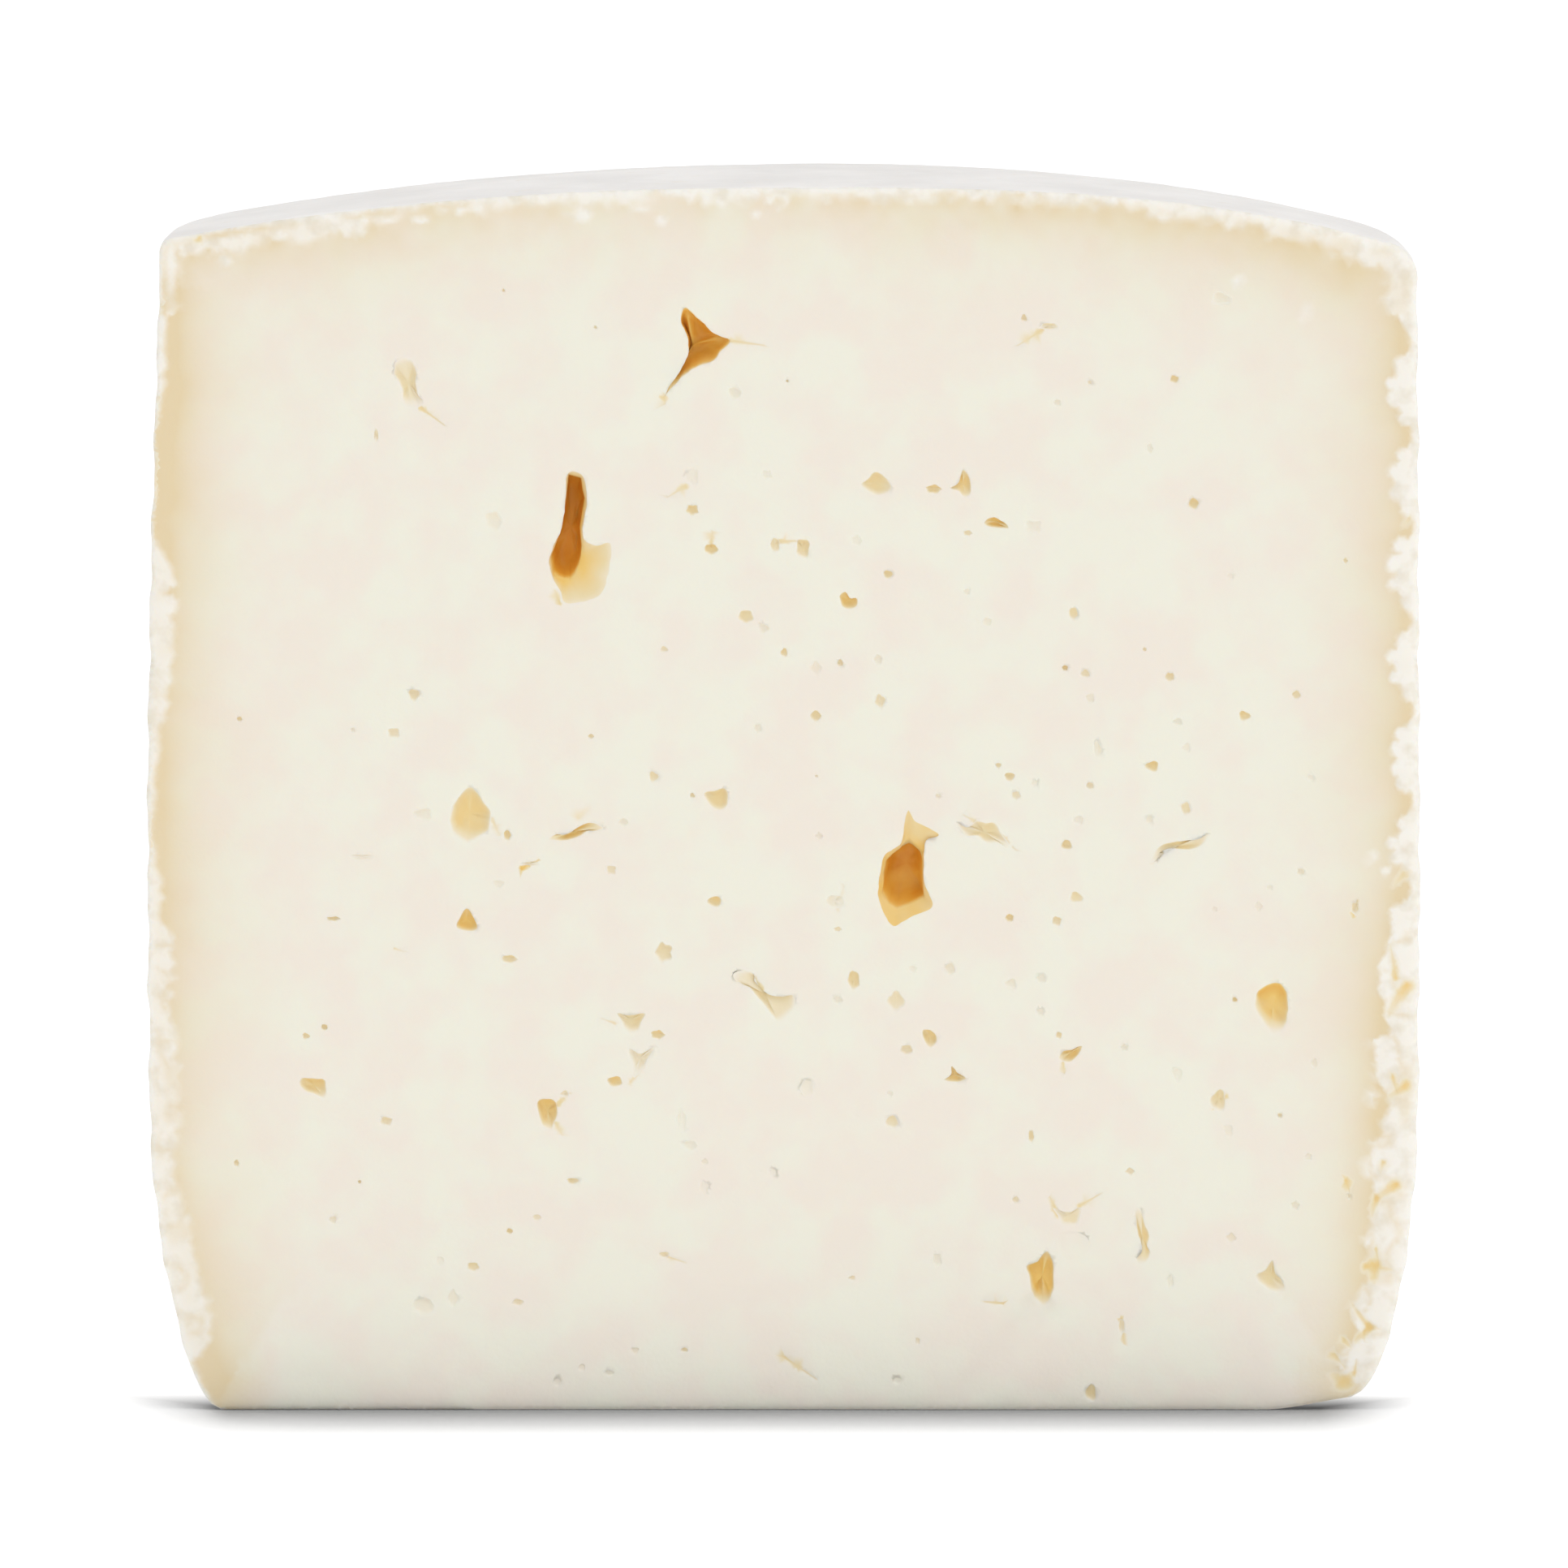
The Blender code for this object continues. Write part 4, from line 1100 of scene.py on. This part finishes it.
def makePaste():
    material, tree, place = blankMaterial("wireCutGoatCurd")
    marks = {name: addNode(tree, "ShaderNodeAttribute", {"attribute_name": name}).outputs["Fac"]
             for name in ("rind", "tan", "pit")}
    mottled = ranged(tree, noise(tree, place, paste["mottle"], 3.0), *paste["mottleRange"])
    ivory = blend(tree, mottled, paste["pink"], paste["green"])
    tanned = blend(tree, marks["tan"], ivory, paste["tan"])
    # Painted shade in the gaps and cracks, from the pit mark.
    paintedGapShade = addNode(tree, "ShaderNodeValToRGB", {"stops": paste["gapShadeStops"]}, {0: marks["pit"]})
    inGap = ranged(tree, marks["pit"], *paste["gapShadeRange"])
    withGapShade = blend(tree, inGap, tanned, paintedGapShade.outputs[0])
    # Painted shade of creases in the rind on the cut, in blotches laid by noise.
    paintedCreaseShade = ranged(tree, noise(tree, place, paste["crumb"], 2.0), *paste["creaseShadeRange"])
    felt = blend(tree, paintedCreaseShade, paste["rind"], paste["crease"])
    colour = blend(tree, marks["rind"], withGapShade, felt)
    finishMaterial(tree, paste, colour, noise(tree, place, paste["grain"], 4.0))
    return material


def makeBloom():
    material, tree, place = blankMaterial("whiteMouldRind")
    patchy = ranged(tree, noise(tree, place, bloom["patch"], 5.0), *bloom["patchRange"])
    white = blend(tree, patchy, bloom["grey"], bloom["white"])
    worn = noise(tree, place, bloom["wear"], 6.0, {"Roughness": 0.65})
    worn = ranged(tree, worn, *bloom["wearRange"], most=bloom["wearMost"])
    rubbed = blend(tree, worn, white, bloom["rubbed"])
    hollow = addNode(tree, "ShaderNodeAttribute", {"attribute_name": "pit"}).outputs["Fac"]
    colour = blend(tree, maths(tree, "MULTIPLY", hollow, patchy), rubbed, bloom["pressed"])
    finishMaterial(tree, bloom, colour, noise(tree, place, bloom["felt"], 3.0))
    return material


cheese = buildPiece("goatCheeseHalf", [makePaste(), makeBloom()])
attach(cheese, "root")
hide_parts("cheese")
print("piece: goatCheeseHalf with", len(cheese.data.vertices), "points and",
      len(cheese.data.polygons), "faces")

# The table and the light
# A sheet of white acrylic lit from below, so that it shows almost no cast shadow, and a white tent. The soft
# contact shadow is painted onto the sheet from ambient occlusion.
studio = {
    "floorSize": 16.0, "floorWhite": 0.5, "floorLight": 0.73,
    "shadowReach": 20.0, "shadowStart": 0.48, "shadowDarkest": 0.1,
    "shadowSides": (54.0, 67.0),       # mm from the middle, where the contact shadow fades out at each side
    "shadowShift": 1.0,                # and how far to the left that middle lies
    "shadowBehind": (1.0, 10.0), "shadowFaintest": 0.9,       # mm behind the cut, and what is left there
    "tent": 0.7, "keyPower": 56.0, "keyPlace": (1.2, -1.6, 3.8), "keySize": 3.0, "keyAim": 0.06,
}


def makeStudio():
    scene = bpy.context.scene
    scene.view_settings.view_transform = "Standard"
    world = bpy.data.worlds.new("tent")
    world.use_nodes = True
    sky = world.node_tree.nodes["Background"]
    sky.inputs["Color"].default_value = (1.0, 1.0, 1.0, 1.0)
    sky.inputs["Strength"].default_value = studio["tent"]
    scene.world = world

    half = studio["floorSize"] / 2
    mesh = bpy.data.meshes.new("table")
    corners = [(-half, -half, 0), (half, -half, 0), (half, half, 0), (-half, half, 0)]
    mesh.from_pydata([(x, y, -0.05 * mm) for x, y, _ in corners], [], [(0, 1, 2, 3)])
    table = bpy.data.objects.new("table", mesh)
    scene.collection.objects.link(table)
    material, tree, place = blankMaterial("litAcrylicSheet")
    # Painted contact shadow: ambient occlusion darkens the sheet's glow and white, faded out at the sides
    # and behind the cut.
    contact = addNode(tree, "ShaderNodeAmbientOcclusion",
                      {"Distance": studio["shadowReach"] * mm, "samples": 2})
    below = ranged(tree, contact.outputs["AO"], studio["shadowStart"])
    parts = addNode(tree, "ShaderNodeSeparateXYZ", None, {0: place})
    across = maths(tree, "ADD", parts.outputs["X"], studio["shadowShift"] * mm)
    start, end = (mark * mm for mark in studio["shadowSides"])
    aside = ranged(tree, maths(tree, "ABSOLUTE", across), start, end, studio["shadowDarkest"])
    start, end = (cutMiddle[1] + mark * mm for mark in studio["shadowBehind"])
    behind = ranged(tree, parts.outputs["Y"], start, end, most=studio["shadowFaintest"])
    shade = maths(tree, "MAXIMUM", below, maths(tree, "MAXIMUM", aside, behind))
    glow = maths(tree, "MULTIPLY", shade, studio["floorLight"])
    white = maths(tree, "MULTIPLY", shade, studio["floorWhite"])
    dull = addNode(tree, "ShaderNodeBsdfDiffuse", None, {"Color": white})
    light = addNode(tree, "ShaderNodeEmission", None, {"Strength": glow})
    both = addNode(tree, "ShaderNodeAddShader", None, {0: dull.outputs[0], 1: light.outputs[0]})
    addNode(tree, "ShaderNodeOutputMaterial", None, {"Surface": both.outputs[0]})
    mesh.materials.append(material)

    lamp = bpy.data.lights.new("softbox", "AREA")
    lamp.shape = "SQUARE"
    lamp.size = studio["keySize"]
    lamp.energy = studio["keyPower"]
    key = bpy.data.objects.new("softbox", lamp)
    key.location = studio["keyPlace"]
    aim = Vector((0, 0, studio["keyAim"])) - Vector(studio["keyPlace"])
    key.rotation_euler = aim.to_track_quat("-Z", "Y").to_euler()
    scene.collection.objects.link(key)
    print("studio: table, tent and softbox are set")


makeStudio()
